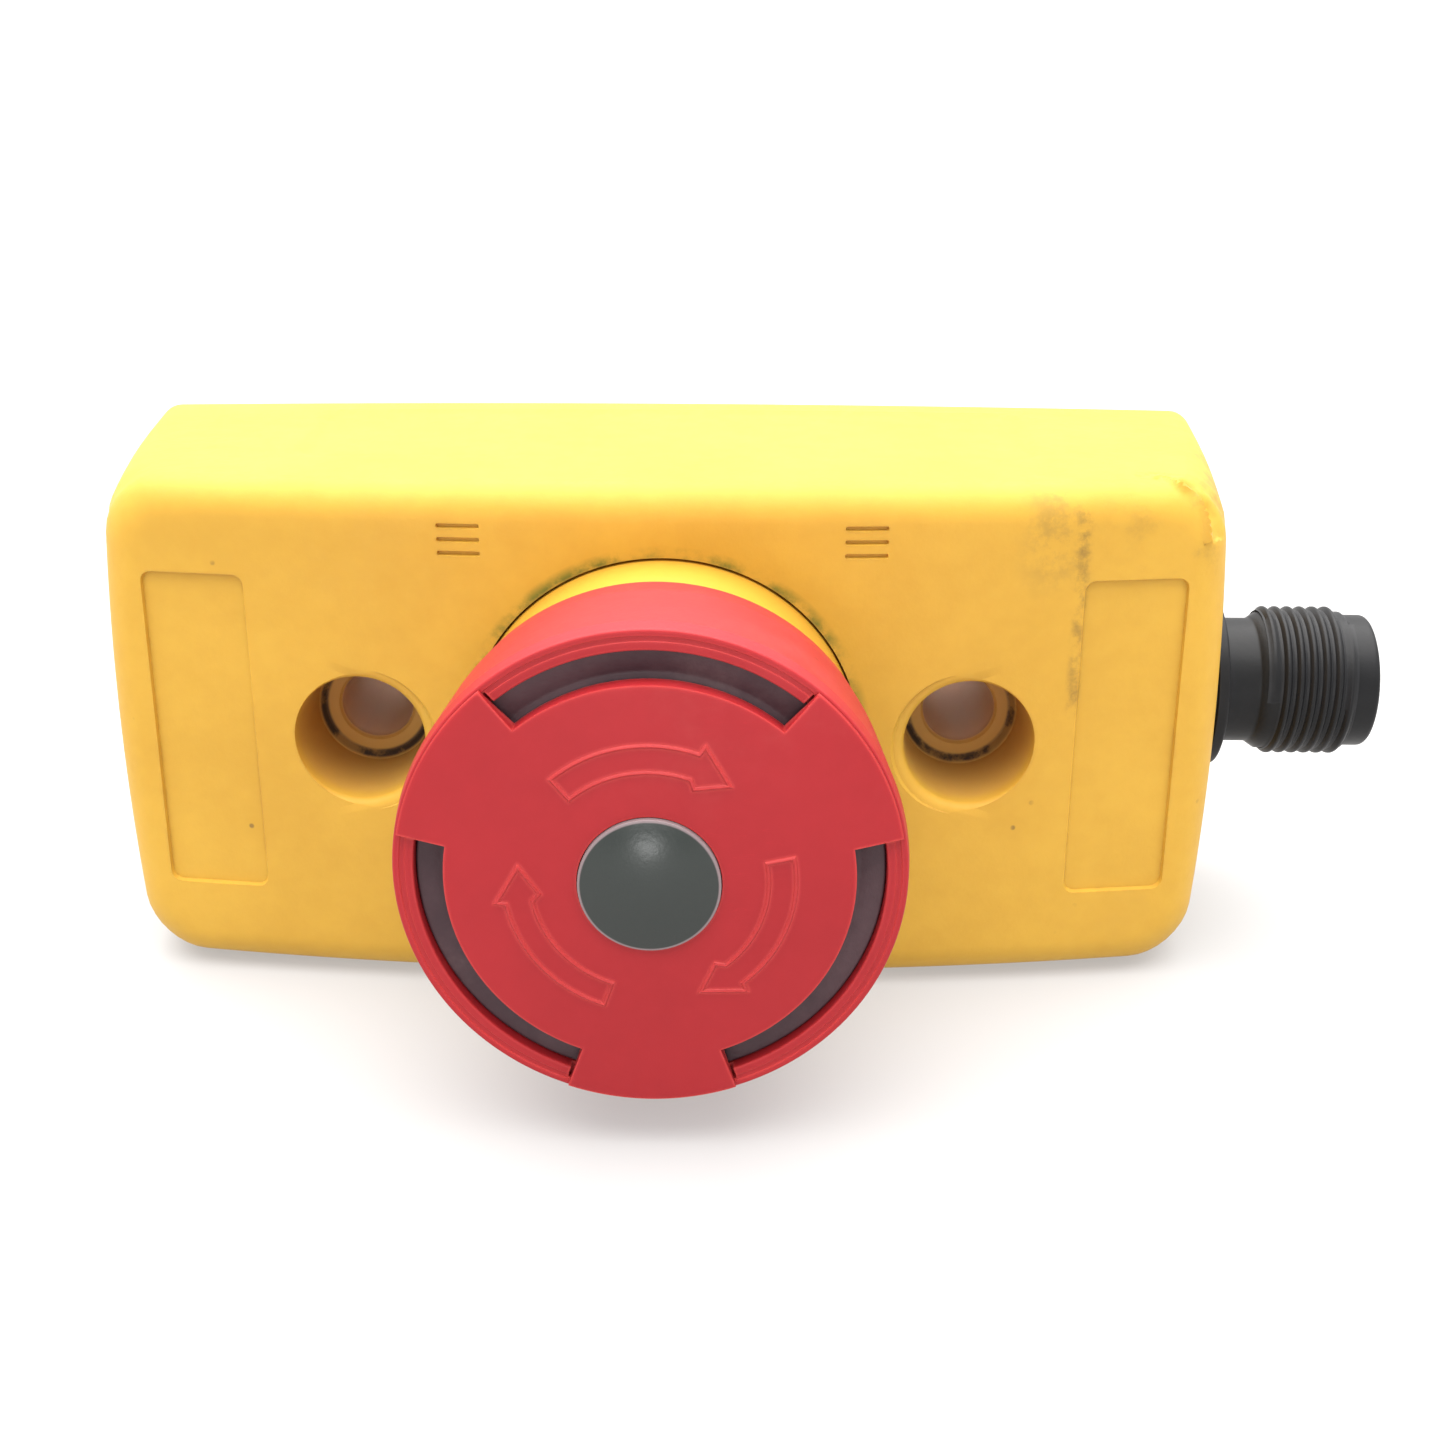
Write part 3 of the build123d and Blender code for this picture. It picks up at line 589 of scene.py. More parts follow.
def edge_group():
    """Where a surface turns sharply: 1 on edges, 0 on flats."""
    tree, gin, gout = new_group("Edge mask", [("Radius", "NodeSocketFloat", 0.0006)],
                                [("Edge", "NodeSocketFloat")])
    soft = add(tree, "ShaderNodeBevel", {0: gin.outputs[0]})
    soft.samples = 6
    flat = add(tree, "ShaderNodeNewGeometry").outputs["Normal"]
    dot = add(tree, "ShaderNodeVectorMath", {0: soft.outputs[0], 1: flat},
              operation="DOT_PRODUCT").outputs["Value"]
    tree.links.new(spread(tree, dot, 0.86, 0.995, 1.0, 0.0), gout.inputs[0])


def ring_group():
    """Mask that is 1 near a circle about an axis parallel to Y."""
    tree, gin, gout = new_group("Ring mask", [("Centre X", "NodeSocketFloat", 0.0),
                                              ("Radius", "NodeSocketFloat", 0.0144),
                                              ("Width", "NodeSocketFloat",
                                               0.0005)], [("Mask", "NodeSocketFloat")])
    co = add(tree, "ShaderNodeTexCoord").outputs["Object"]
    parts = add(tree, "ShaderNodeSeparateXYZ", {0: co}).outputs
    dx = minus(tree, parts[0], gin.outputs[0])
    square = plus(tree, times(tree, dx, dx), times(tree, parts[2], parts[2]))
    away = maths(tree, "ABSOLUTE", minus(tree, maths(tree, "SQRT", square), gin.outputs[1]))
    ratio = maths(tree, "DIVIDE", away, gin.outputs[2], clamp=True)
    tree.links.new(minus(tree, 1.0, ratio), gout.inputs[0])


def use(tree, group, **values):
    node = tree.nodes.new("ShaderNodeGroup")
    node.node_tree = bpy.data.node_groups[group]
    for key, value in values.items():
        node.inputs[key.replace("_", " ")].default_value = value
    return node


def start_material(name, rough, metallic=0.0, spec=0.5):
    material = bpy.data.materials.new(name)
    material.use_nodes = True
    tree = material.node_tree
    shader = tree.nodes["Principled BSDF"]
    shader.inputs["Roughness"].default_value = rough
    shader.inputs["Metallic"].default_value = metallic
    shader.inputs["Specular IOR Level"].default_value = spec
    return material, tree, shader


def bump(tree, shader, height, distance):
    node = add(tree, "ShaderNodeBump", {"Height": height})
    node.inputs["Strength"].default_value = 1.0
    node.inputs["Distance"].default_value = distance
    tree.links.new(node.outputs[0], shader.inputs["Normal"])


def opaque(colour):
    """A colour setting as a socket value."""
    return tuple(colour) + (1.0,)


def moulded(name, base, deep, rough=0.5, scale=2600.0, depth=0.5, dirt=0.5,
            dust=(0.5, 0.45, 0.35, 1), edge=0.0, edge_colour=(1, 1, 1, 1), bump_size=0.00003,
            sss=0.0, spec=0.4):
    """A moulded plastic or rubber with grain, handling marks and paler edges; on the red button the paler
    edges are a painted highlight.
    """
    material, tree, shader = start_material(name, rough, spec=spec)
    grain = use(tree, "Moulded grain", Grain_scale=scale, Grain_depth=depth)
    marks = use(tree, "Handling marks", Amount=dirt)
    colour = mix(tree, spread(tree, grain.outputs["Tint"], 0.3, 0.7), base, deep)
    colour = mix(tree, times(tree, marks.outputs["Smudges"], 0.55), colour, dust)
    pale = tuple(min(1, c * 1.35) for c in base[:3]) + (1,)
    dark = tuple(c * 0.18 for c in base[:3]) + (1,)
    colour = mix(tree, marks.outputs["Scratches"], colour, pale)
    colour = mix(tree, marks.outputs["Specks"], colour, dark)
    # paler colour along sharp edges; for the red button this is a painted highlight on the rims
    if edge > 0:
        mask = use(tree, "Edge mask", Radius=0.00035)
        colour = mix(tree, times(tree, mask.outputs[0], edge), colour, edge_colour)
    tree.links.new(colour, shader.inputs["Base Color"])
    uneven = plus(tree, times(tree, grain.outputs["Tint"], 0.16), rough - 0.08)
    uneven = plus(tree, uneven, times(tree, marks.outputs["Smudges"], 0.15))
    tree.links.new(uneven, shader.inputs["Roughness"])
    if sss > 0:
        shader.inputs["Subsurface Weight"].default_value = sss
        shader.inputs["Subsurface Radius"].default_value = (1.0, 0.35, 0.12)
        shader.inputs["Subsurface Scale"].default_value = 0.0015
    bump(tree, shader, grain.outputs["Height"], bump_size)
    return material


def metal(name, base, rough):
    """Bright metal with faint drawing lines and stains."""
    material, tree, shader = start_material(name, rough, metallic=1.0)
    grain = use(tree, "Moulded grain", Grain_scale=1500.0, Grain_depth=0.3)
    marks = use(tree, "Handling marks", Amount=0.6)
    darker = tuple(c * 0.82 for c in base[:3]) + (1,)
    stained = tuple(c * 0.5 for c in base[:3]) + (1,)
    colour = mix(tree, spread(tree, grain.outputs["Tint"], 0.35, 0.7), base, darker)
    colour = mix(tree, times(tree, marks.outputs["Smudges"], 0.4), colour, stained)
    tree.links.new(colour, shader.inputs["Base Color"])
    uneven = plus(tree, times(tree, marks.outputs["Scratches"], 0.3), rough)
    tree.links.new(uneven, shader.inputs["Roughness"])
    bump(tree, shader, grain.outputs["Height"], 0.00001)
    return material


def housing_material(p):
    """Yellow moulding: grain, dirt in the joint round the collar and on the corners, painted shade on the
    screw pocket walls, a near-black ring at the screw seats and painted light down the bores.
    """
    material, tree, shader = start_material("Housing yellow", 0.5, spec=0.22)
    co = add(tree, "ShaderNodeTexCoord").outputs["Object"]
    x, y, z = add(tree, "ShaderNodeSeparateXYZ", {0: co}).outputs[:3]
    grain = use(tree, "Moulded grain", Grain_scale=2400.0, Grain_depth=0.5)
    marks = use(tree, "Handling marks", Amount=0.9)
    base, deep = opaque(p.housing_colour), (0.51, 0.287, 0.036, 1)
    colour = mix(tree, spread(tree, grain.outputs["Tint"], 0.3, 0.7), base, deep)
    stain = (0.30, 0.15, 0.03, 1)
    patchy = spread(tree, noise(tree, co, 260.0, 6.0, 0.7), 0.40, 0.62)
    colour = mix(tree, times(tree, marks.outputs["Smudges"], 0.30), colour, (0.50, 0.30, 0.06, 1))
    colour = mix(tree, times(tree, marks.outputs["Specks"], 0.75), colour, (0.12, 0.07, 0.03, 1))
    colour = mix(tree, times(tree, marks.outputs["Scratches"], 0.35), colour, (0.55, 0.30, 0.05, 1))
    joint = use(tree, "Ring mask", Radius=0.01455, Width=0.00075)
    front = spread(tree, y, -0.0245, -0.0238, 1.0, 0.0)
    high = spread(tree, z, -0.004, 0.010)
    rim = times(tree, times(tree, joint.outputs[0], front), high)
    colour = mix(tree, times(tree, rim, times(tree, patchy, 0.95)), colour, (0.10, 0.13, 0.02, 1))
    for side in (-1, 1):
        hole = use(tree, "Ring mask", Centre_X=side * 0.0225, Radius=0.0, Width=0.0053)
        # painted shade: the screw pocket walls below the mouth are darkened to orange-brown where shade falls
        # inside the pocket
        pocket_shade = times(tree, spread(tree, hole.outputs[0], 0.04, 0.16),
                       spread(tree, y, -0.0252, -0.0240, 0.0, 1.0))
        colour = mix(tree, times(tree, pocket_shade, 0.72), colour, (0.47, 0.25, 0.075, 1))
        # a near-black ring in the corner where the pocket wall meets the screw seat, broken up by noise
        seat = use(tree, "Ring mask", Centre_X=side * 0.0225, Radius=0.00405, Width=0.00045)
        level = times(tree, spread(tree, y, -0.0196, -0.0188, 0.0, 1.0),
                      spread(tree, y, -0.0180, -0.0176, 1.0, 0.0))
        seat_dark_ring = times(tree, spread(tree, seat.outputs[0], 0.1, 0.7), level)
        colour = mix(tree, times(tree, seat_dark_ring, spread(tree, patchy, -0.8, 0.7)), colour,
                     (0.035, 0.022, 0.015, 1))
        # painted light: the narrow bore below the screw seat is coloured pale pink as if light shone up
        # through it
        bore_light = times(tree, spread(tree, hole.outputs[0], 0.46, 0.50),
                          spread(tree, y, -0.0185, -0.0170, 0.0, 1.0))
        colour = mix(tree, times(tree, bore_light, 0.85), colour, (1.0, 0.78, 0.66, 1))
    edge = use(tree, "Edge mask", Radius=0.0005)
    worn = times(tree, edge.outputs[0], patchy)
    colour = mix(tree, times(tree, worn, 0.35), colour, stain)
    blotch = spread(tree, noise(tree, co, 420.0, 6.0, 0.72), 0.42, 0.64)
    seam = minus(tree, 1.0, spread(tree, maths(tree, "ABSOLUTE", minus(tree, x, 0.0300)), 0.0001,
                                   0.0008))
    seam = times(tree, seam, spread(tree, z, 0.0005, 0.004))
    seam = times(tree, seam, spread(tree, y, -0.0235, -0.0215, 1.0, 0.0))
    colour = mix(tree, times(tree, times(tree, seam, blotch), 0.6), colour, (0.16, 0.10, 0.03, 1))
    grey = times(tree, spread(tree, x, 0.0245, 0.0275), spread(tree, x, 0.0285, 0.0315, 1.0, 0.0))
    grey = times(tree, grey, spread(tree, z, 0.0100, 0.0150))
    grey = times(tree, grey, spread(tree, y, -0.0235, -0.0215, 1.0, 0.0))
    colour = mix(tree, times(tree, times(tree, grey, blotch), 0.36), colour, (0.17, 0.12, 0.04, 1))
    corner = times(tree, spread(tree, x, 0.028, 0.041), spread(tree, z, 0.008, 0.019))
    smear = times(tree, corner, spread(tree, noise(tree, co, 180.0, 7.0, 0.75), 0.50, 0.68))
    colour = mix(tree, times(tree, smear, 0.55), colour, (0.20, 0.14, 0.04, 1))
    tree.links.new(colour, shader.inputs["Base Color"])
    rough = plus(tree, times(tree, grain.outputs["Tint"], 0.2), 0.40)
    tree.links.new(rough, shader.inputs["Roughness"])
    shader.inputs["Subsurface Weight"].default_value = 0.12
    shader.inputs["Subsurface Radius"].default_value = (1.0, 0.5, 0.1)
    shader.inputs["Subsurface Scale"].default_value = 0.0012
    bump(tree, shader, grain.outputs["Height"], 0.00003)
    return material


def lens_material(p):
    """Smoked lens: satin dome, with a paler ring at the rim painted on as the highlight of the lens flange."""
    material, tree, shader = start_material("Lens smoke", 0.28, spec=0.42)
    grain = use(tree, "Moulded grain", Grain_scale=3000.0, Grain_depth=0.5)
    marks = use(tree, "Handling marks", Amount=0.7)
    # painted highlight: a pale lilac ring on the lens rim stands in for the edge highlight of the lens flange
    ring = use(tree, "Ring mask", Radius=0.00448, Width=0.00022)
    colour = mix(tree, grain.outputs["Tint"], opaque(p.lens_colour), (0.024, 0.029, 0.026, 1))
    colour = mix(tree, spread(tree, ring.outputs[0], 0.1, 0.6), colour, (0.20, 0.15, 0.155, 1))
    colour = mix(tree, marks.outputs["Specks"], colour, (0.25, 0.25, 0.22, 1))
    tree.links.new(colour, shader.inputs["Base Color"])
    uneven = plus(tree, times(tree, marks.outputs["Smudges"], 0.15), 0.26)
    tree.links.new(uneven, shader.inputs["Roughness"])
    bump(tree, shader, grain.outputs["Height"], 0.00002)
    return material


def make_materials(p):
    grain_group()
    dirt_group()
    edge_group()
    ring_group()
    made = {
        "housing_yellow": housing_material(p),
        # painted shade: the collar yellow is darker than the housing yellow to stand in for the shade under
        # the button's cap
        "collar_yellow": moulded("Collar yellow", opaque(p.collar_shaded_colour), (0.52, 0.27, 0.026, 1),
                                 0.42, 3000.0, 0.2, 0.3,
                                 (0.45, 0.30, 0.05, 1), sss=0.1, bump_size=0.00001),
        # painted highlight: the paler pinkish red edge colour along the rims and slot edges stands in for
        # highlights on the rounded edges
        "button_red": moulded("Button red", opaque(p.button_colour), (0.30, 0.013, 0.017, 1),
                              0.46, 2600.0, 0.45, 0.35, (0.45, 0.09, 0.08, 1), edge=0.55,
                              edge_colour=(0.60, 0.062, 0.057, 1), sss=0.12, bump_size=0.00002,
                              spec=0.22),
        "dark_smoke": moulded("Slot ring smoke", opaque(p.slot_colour), (0.085, 0.045, 0.052, 1),
                              0.42, 2600.0, 0.7, 0.9,
                              (0.20, 0.13, 0.13, 1), bump_size=0.00004, spec=0.28),
        "lens_smoke": lens_material(p),
        "black_rubber": moulded("Black rubber", (0.02, 0.02, 0.02, 1), (0.03, 0.03, 0.03, 1), 0.7,
                                dirt=0.4),
        "cast_fill": moulded("Cast fill", (0.42, 0.24, 0.06, 1), (0.33, 0.18, 0.045, 1), 0.35,
                             500.0, 0.3, 0.5,
                             (0.25, 0.15, 0.06, 1), bump_size=0.00008, sss=0.2),
        "clear_plastic": moulded("Clear plastic", (0.72, 0.75, 0.76, 1), (0.66, 0.69, 0.70, 1),
                                 0.12, dirt=0.1),
        "white_nylon": moulded("Natural nylon", (0.70, 0.68, 0.62, 1), (0.64, 0.62, 0.55, 1), 0.45,
                               dirt=0.2, sss=0.1),
        "black_nylon": moulded("Black nylon", (0.022, 0.022, 0.024, 1), (0.032, 0.032, 0.034, 1),
                               0.5, dirt=0.4),
        "board_green": moulded("Board green", (0.015, 0.10, 0.04, 1), (0.02, 0.13, 0.05, 1), 0.3,
                               900.0, 0.3, 0.3),
        "lamp_white": moulded("Lamp white", (0.78, 0.79, 0.76, 1), (0.70, 0.72, 0.68, 1), 0.2,
                              dirt=0.1, sss=0.2),
        "chip_black": moulded("Chip black", (0.02, 0.02, 0.02, 1), (0.03, 0.03, 0.03, 1), 0.35,
                              dirt=0.2),
        "inlet_black": moulded("Inlet black", opaque(p.inlet_colour), (0.008, 0.008, 0.009, 1),
                               0.42, 2200.0, 0.35, 0.8,
                               (0.05, 0.048, 0.046,
                                1), edge=0.25, edge_colour=(0.035, 0.035, 0.038, 1), spec=0.22),
        "lead_grey": moulded("Lead sleeve", (0.22, 0.20, 0.19, 1), (0.18, 0.165, 0.155, 1), 0.5,
                             dirt=0.3),
        "spring_steel": metal("Spring steel", (0.56, 0.56, 0.57, 1), 0.25),
        "latch_steel": metal("Latch steel", (0.52, 0.52, 0.53, 1), 0.32),
        "contact_brass": metal("Contact brass", (0.78, 0.56, 0.25, 1), 0.26),
        "gold_contact": metal("Gold contact", (0.92, 0.66, 0.26, 1), 0.2),
        "nickel_brass": metal("Nickel brass", (0.60, 0.58, 0.53, 1), 0.24),
    }
    return made


def mat(slot):
    """The finish for a slot, built on first use with all the others."""
    if "Housing yellow" not in bpy.data.materials:
        for key, material in make_materials(bpy.context.scene.stop_button).items():
            material["slot"] = key
    return next(m for m in bpy.data.materials if m.get("slot") == slot)


# ---- pieces -------------------------------------------------------------------
def build_housing(p):
    body = block_solid("housing_shell", 0.0, 0.0, 0.0, p.front_edge / MM)
    cavity = block_solid("cavity", WALL, -1.0, 2.4, 1.0)
    cut(body, cavity)
    cut(body, label_tool())
    for side in (-1, 1):
        top = arch_z(HOLE_X) - 1.2
        column = lathe("column", [(0, 0), (COLUMN_R, 0), (COLUMN_R, top), (0, top)])
        cut(body, moved(column, HOLE_X * side), "UNION")
    mouth = arch_z(HOLE_X) + 0.1
    lip = p.lip / MM
    curve = []
    for k in range(9):
        a = math.pi / 2 * k / 8
        curve.append((POCKET_R + lip * (1 - math.cos(a)), mouth - lip * (1 - math.sin(a)) - 0.02))
    tool = [(0, -1), (BORE_R, -1), (BORE_R, 17.9), (2.95, SEAT_Z), (3.95, SEAT_Z), (4.4, 18.65)]
    tool += curve + [(POCKET_R + lip + 1.2, mouth + 1.6), (0, mouth + 1.6)]
    for side in (-1, 1):
        cut(body, moved(lathe("screw_tool", tool, segments=96), HOLE_X * side))
    opening = [(0, 10), (14.36, 10), (14.36, 25.9), (14.42, 28.0), (0, 28.0)]
    cut(body, lathe("collar_tool", opening, segments=256))
    for side in (-1, 1):
        x0, x1 = sorted((side * 30.3, side * 38.0))
        cut(body, pocket("panel", x0, x1, -12.4, 12.4, 0.8, p.panel_depth / MM))
        x0, x1 = sorted((side * 12.9, side * 16.0))
        bars = pocket("bar", x0, x1, 14.31, 14.69, 0.15, 0.3)
        cut(body, repeat(bars, 3, (0, 0, 1.0)))
    inlet = [(0, 35), (5.0, 35), (5.0, 42.1), (6.95, 42.1), (6.95, 50), (0, 50)]
    cut(body, lathe("inlet_tool", inlet, inlet_place))
    tear(body)
    shade(body, 32)
    return finish_piece(body, "base", mat("housing_yellow"), ["housing"])


def build_collar(p):
    profile = [(12.35, 21.35, 0.1), (15.7, 21.35, 0.1), (15.7, 23.05, 0.1), (14.3, 23.05, 0.0),
               (14.3, 25.3, 0.3),
               (14.15, 27.0, 2.0), (14.05, 31.5, 0.0), (14.05, 40.0, 0.5), (12.35, 40.0, 0.3)]
    ring = lathe("collar_ring", rounded(profile), segments=256)
    hub = lathe("collar_hub", rounded([(6.05, 26.0, 0.1), (12.4, 26.0, 0), (12.4, 27.8, 0),
                                       (8.6, 27.8, 0.3),
                                       (8.6, 38.0, 0.2), (6.05, 38.0, 0.1)]), segments=128)
    join(ring, hub)
    return finish_piece(ring, "base", mat("collar_yellow"), ["collar"])


def join(target, other):
    bm = bmesh.new()
    bm.from_mesh(target.data)
    bm.from_mesh(other.data)
    bm.to_mesh(target.data)
    bm.free()
    bpy.data.objects.remove(other)
    shade(target, 35)


def notch_tool(angle):
    """Tool for the small gap at a slot's end, in the ledge of the skirt."""
    c, s = math.cos(math.radians(angle)), math.sin(math.radians(angle))
    verts = []
    for z in (47.55, 49.0):
        for r, w in ((14.6, 0.16), (15.35, 0.15), (15.72, 0.07), (15.72, -0.07), (15.35, -0.15),
                     (14.6, -0.16)):
            verts.append((r * c - w * s, r * s + w * c, z))
    faces = [[0, 1, 2, 3, 4, 5], [6, 7, 8, 9, 10, 11]]
    faces += [[k, (k + 1) % 6, (k + 1) % 6 + 6, k + 6] for k in range(6)]
    return make_object("notch_tool", verts, faces)


def build_skirt(p):
    profile = [(14.45, 35.2, 0.1), (15.25, 35.2, 0.18), (15.72, 38.6, 6.0), (16.38, 47.0, 0.25),
               (16.24, 48.36, 0.38),
               (15.85, 48.36, 0.03), (15.80, 48.26, 0.03), (15.50, 48.27,
                                                            0.02), (15.45, 48.34, 0.02),
               (14.9, 48.36, 0.14), (14.9, 46.65, 0.0), (14.45, 46.65, 0.0),
               (14.45, 45.65, 0.0), (6.05, 45.65, 0.1), (6.05, 44.45, 0.1), (14.45, 44.45, 0.3)]
    obj = lathe("button_skirt", rounded(profile), segments=320)
    for side in (-1, 1):
        cut(obj, repeat(notch_tool(90 + side * (math.degrees(p.slot_angle) / 2 - 0.3)), 3,
                        turn=120))
    shade(obj, 35)
    return finish_piece(obj, "button", mat("button_red"), ["cap_skirt"])


def face_solid(p):
    """The domed face: a disc between the slots that widens to three lobes."""
    half = math.degrees(p.slot_angle) / 2
    angles = []
    for n in range(3):
        middle = 90 + 120 * n
        for k in range(81):
            angles.append((middle - half + 0.25 + (2 * half - 0.5) * k / 80, SLOT_INNER_R))
        for k in range(41):
            angles.append((middle + half + (120 - 2 * half) * k / 40, LOBE_R))
    radii = [4.55, 4.75, 5.2, 6, 7, 8, 9, 10, 11, 11.8, 12.3, 12.6]
    verts, rings = [], []
    for a, limit in angles:
        c, s = math.cos(math.radians(a)), math.sin(math.radians(a))
        line = [(r * c, r * s, face_z(r)) for r in radii]
        last = [SLOT_INNER_R, 13.4, 14.2, 15.0, 15.6, LOBE_R]
        if limit < 13:
            last = [limit] * 6
        line += [(r * c, r * s, face_z(r)) for r in last]
        low = 47.8 if limit < 13 else 48.37
        line += [(last[-1] * c, last[-1] * s, low), (11.7 * c, 11.7 * s, low),
                 (11.7 * c, 11.7 * s, 45.66)]
        line += [(4.55 * c, 4.55 * s, 45.66)]
        rings.append(list(range(len(verts), len(verts) + len(line))))
        verts += line
    faces = []
    for i, ring in enumerate(rings):
        nxt = rings[(i + 1) % len(rings)]
        count = len(ring)
        for k in range(count):
            j = (k + 1) % count
            faces.append([ring[k], nxt[k], nxt[j], ring[j]])
    return make_object("button_face", verts, faces)


def arrow_points(middle):
    pts = []
    for k in range(25):
        a = middle + 41 - 61 * k / 24
        pts.append((9.15, a))
    pts += [(9.75, middle - 21.0), (8.25, middle - 37.0), (6.95, middle - 23.5),
            (7.45, middle - 20)]
    for k in range(1, 25):
        a = middle - 20 + 61 * k / 24
        pts.append((7.45, a))
    return [(r * math.cos(math.radians(a)), r * math.sin(math.radians(a))) for r, a in pts]


def ridge(name, points, width, height):
    """Closed raised line that follows the face."""
    verts, faces = [], []
    n = len(points)
    shape = [(-0.5, -0.6), (-0.42, 0.1), (-0.22, 0.75), (0.0, 1.0), (0.22, 0.75), (0.42, 0.1),
             (0.5, -0.6)]
    for i, (x, y) in enumerate(points):
        before, after = Vector(points[i - 1]), Vector(points[(i + 1) % n])
        here = Vector((x, y))
        t0, t1 = (here - before).normalized(), (after - here).normalized()
        tangent = (t0 + t1).normalized()
        side = Vector((-tangent.y, tangent.x))
        stretch = 1 / max(0.45, side.dot(Vector((-t0.y, t0.x))))
        for u, v in shape:
            q = here + side * u * width * stretch
            verts.append((q.x, q.y, face_z(q.length) + v * height))
    m = len(shape)
    for i in range(n):
        j = (i + 1) % n
        for k in range(m):
            l = (k + 1) % m
            faces.append([i * m + k, j * m + k, j * m + l, i * m + l])
    return make_object(name, verts, faces, angle=60)


def build_face(p):
    obj = face_solid(p)
    bevel = obj.modifiers.new("edges", "BEVEL")
    bevel.width = p.face_edge
    bevel.segments = 3
    bevel.limit_method = "ANGLE"
    bevel.angle_limit = math.radians(35)
    bake(obj)
    arrow = ridge("arrow", arrow_points(90), p.arrow_line / MM, p.arrow_rise / MM)
    join(obj, repeat(arrow, 3, turn=120, material=mat("button_red")))
    return finish_piece(obj, "button", mat("button_red"), ["cap_face"])


def build_slot_ring(p):
    profile = [(11.75, 45.66, 0.1), (14.4, 45.66, 0.1), (14.4, 46.6, 0.0), (14.85, 46.6, 0.0),
               (14.85, 47.55, 0.15),
               (13.2, 47.25, 0.6), (12.6, 47.5, 0.2), (11.75, 47.5, 0.1)]
    obj = lathe("slot_light_ring", rounded(profile), segments=256)
    return finish_piece(obj, "button", mat("dark_smoke"), ["slot_ring"])


def build_lens(p):
    dome, brim = p.lens_dome / MM, 49.95
    ball = (LENS_R ** 2 + dome ** 2) / (2 * dome)
    profile = [(0, 47.75)]
    profile += rounded([(LENS_R, 47.75, 0.1), (LENS_R, 49.98, 0.12), (4.28, 50.02, 0.08)])[:12]
    for k in range(1, 14):
        r = 4.22 * (1 - k / 14)
        profile.append((r, brim + dome - ball + math.sqrt(ball ** 2 - r * r)))
    profile.append((0, brim + dome))
    obj = lathe("button_lens", profile, segments=128, angle=60)
    return finish_piece(obj, "button", mat("lens_smoke"), ["lens"])


def build_inlet(p):
    profile = [(3.7, 35.4, 0.1), (4.95, 35.4, 0.15), (4.95, 42.6, 0.0), (6.8, 42.6, 0.1),
               (6.8, 43.5, 0.25),
               (4.95, 43.5, 0.25), (4.95, 46.3, 0.5), (5.35, 46.9, 0.3)]
    pts = rounded(profile)[:-6]
    pts += [(5.50, 47.1), (5.50, 53.5)]
    pts += rounded([(5.35, 53.6, 0.1), (5.25, 53.8, 0.1), (5.25, 55.6, 0.75), (4.3, 55.6, 0.25),
                    (4.3, 46.6, 0.1),
                    (3.7, 46.6, 0.1)])
    obj = lathe("inlet_sleeve", pts, inlet_place, 160, 40)
    join(obj, helix_ridge("thread", 46.7, 53.9, p.pitch / MM, 5.58, 5.92))
    return finish_piece(obj, "base", mat("inlet_black"), ["inlet_shell"])


def paint_rest(p):
    """The CAD pieces that are shown as they are get their finishes."""
    slots = {part["node"]: part["material_slot"] for part in frame["record"]["subparts"]}
    for node, obj in frame["nodes"].items():
        obj.data.materials.clear()
        obj.data.materials.append(mat(slots[node]))


# ---- stage --------------------------------------------------------------------
def area(name, place, aim, size, power):
    data = bpy.data.lights.new(name, "AREA")
    data.shape = "RECTANGLE"
    data.size, data.size_y = size
    data.energy = power
    lamp = bpy.data.objects.new(name, data)
    lamp.location = place
    lamp.rotation_mode = "QUATERNION"
    lamp.rotation_quaternion = (Vector(aim) - Vector(place)).to_track_quat("-Z", "Y")
    bpy.context.scene.collection.objects.link(lamp)


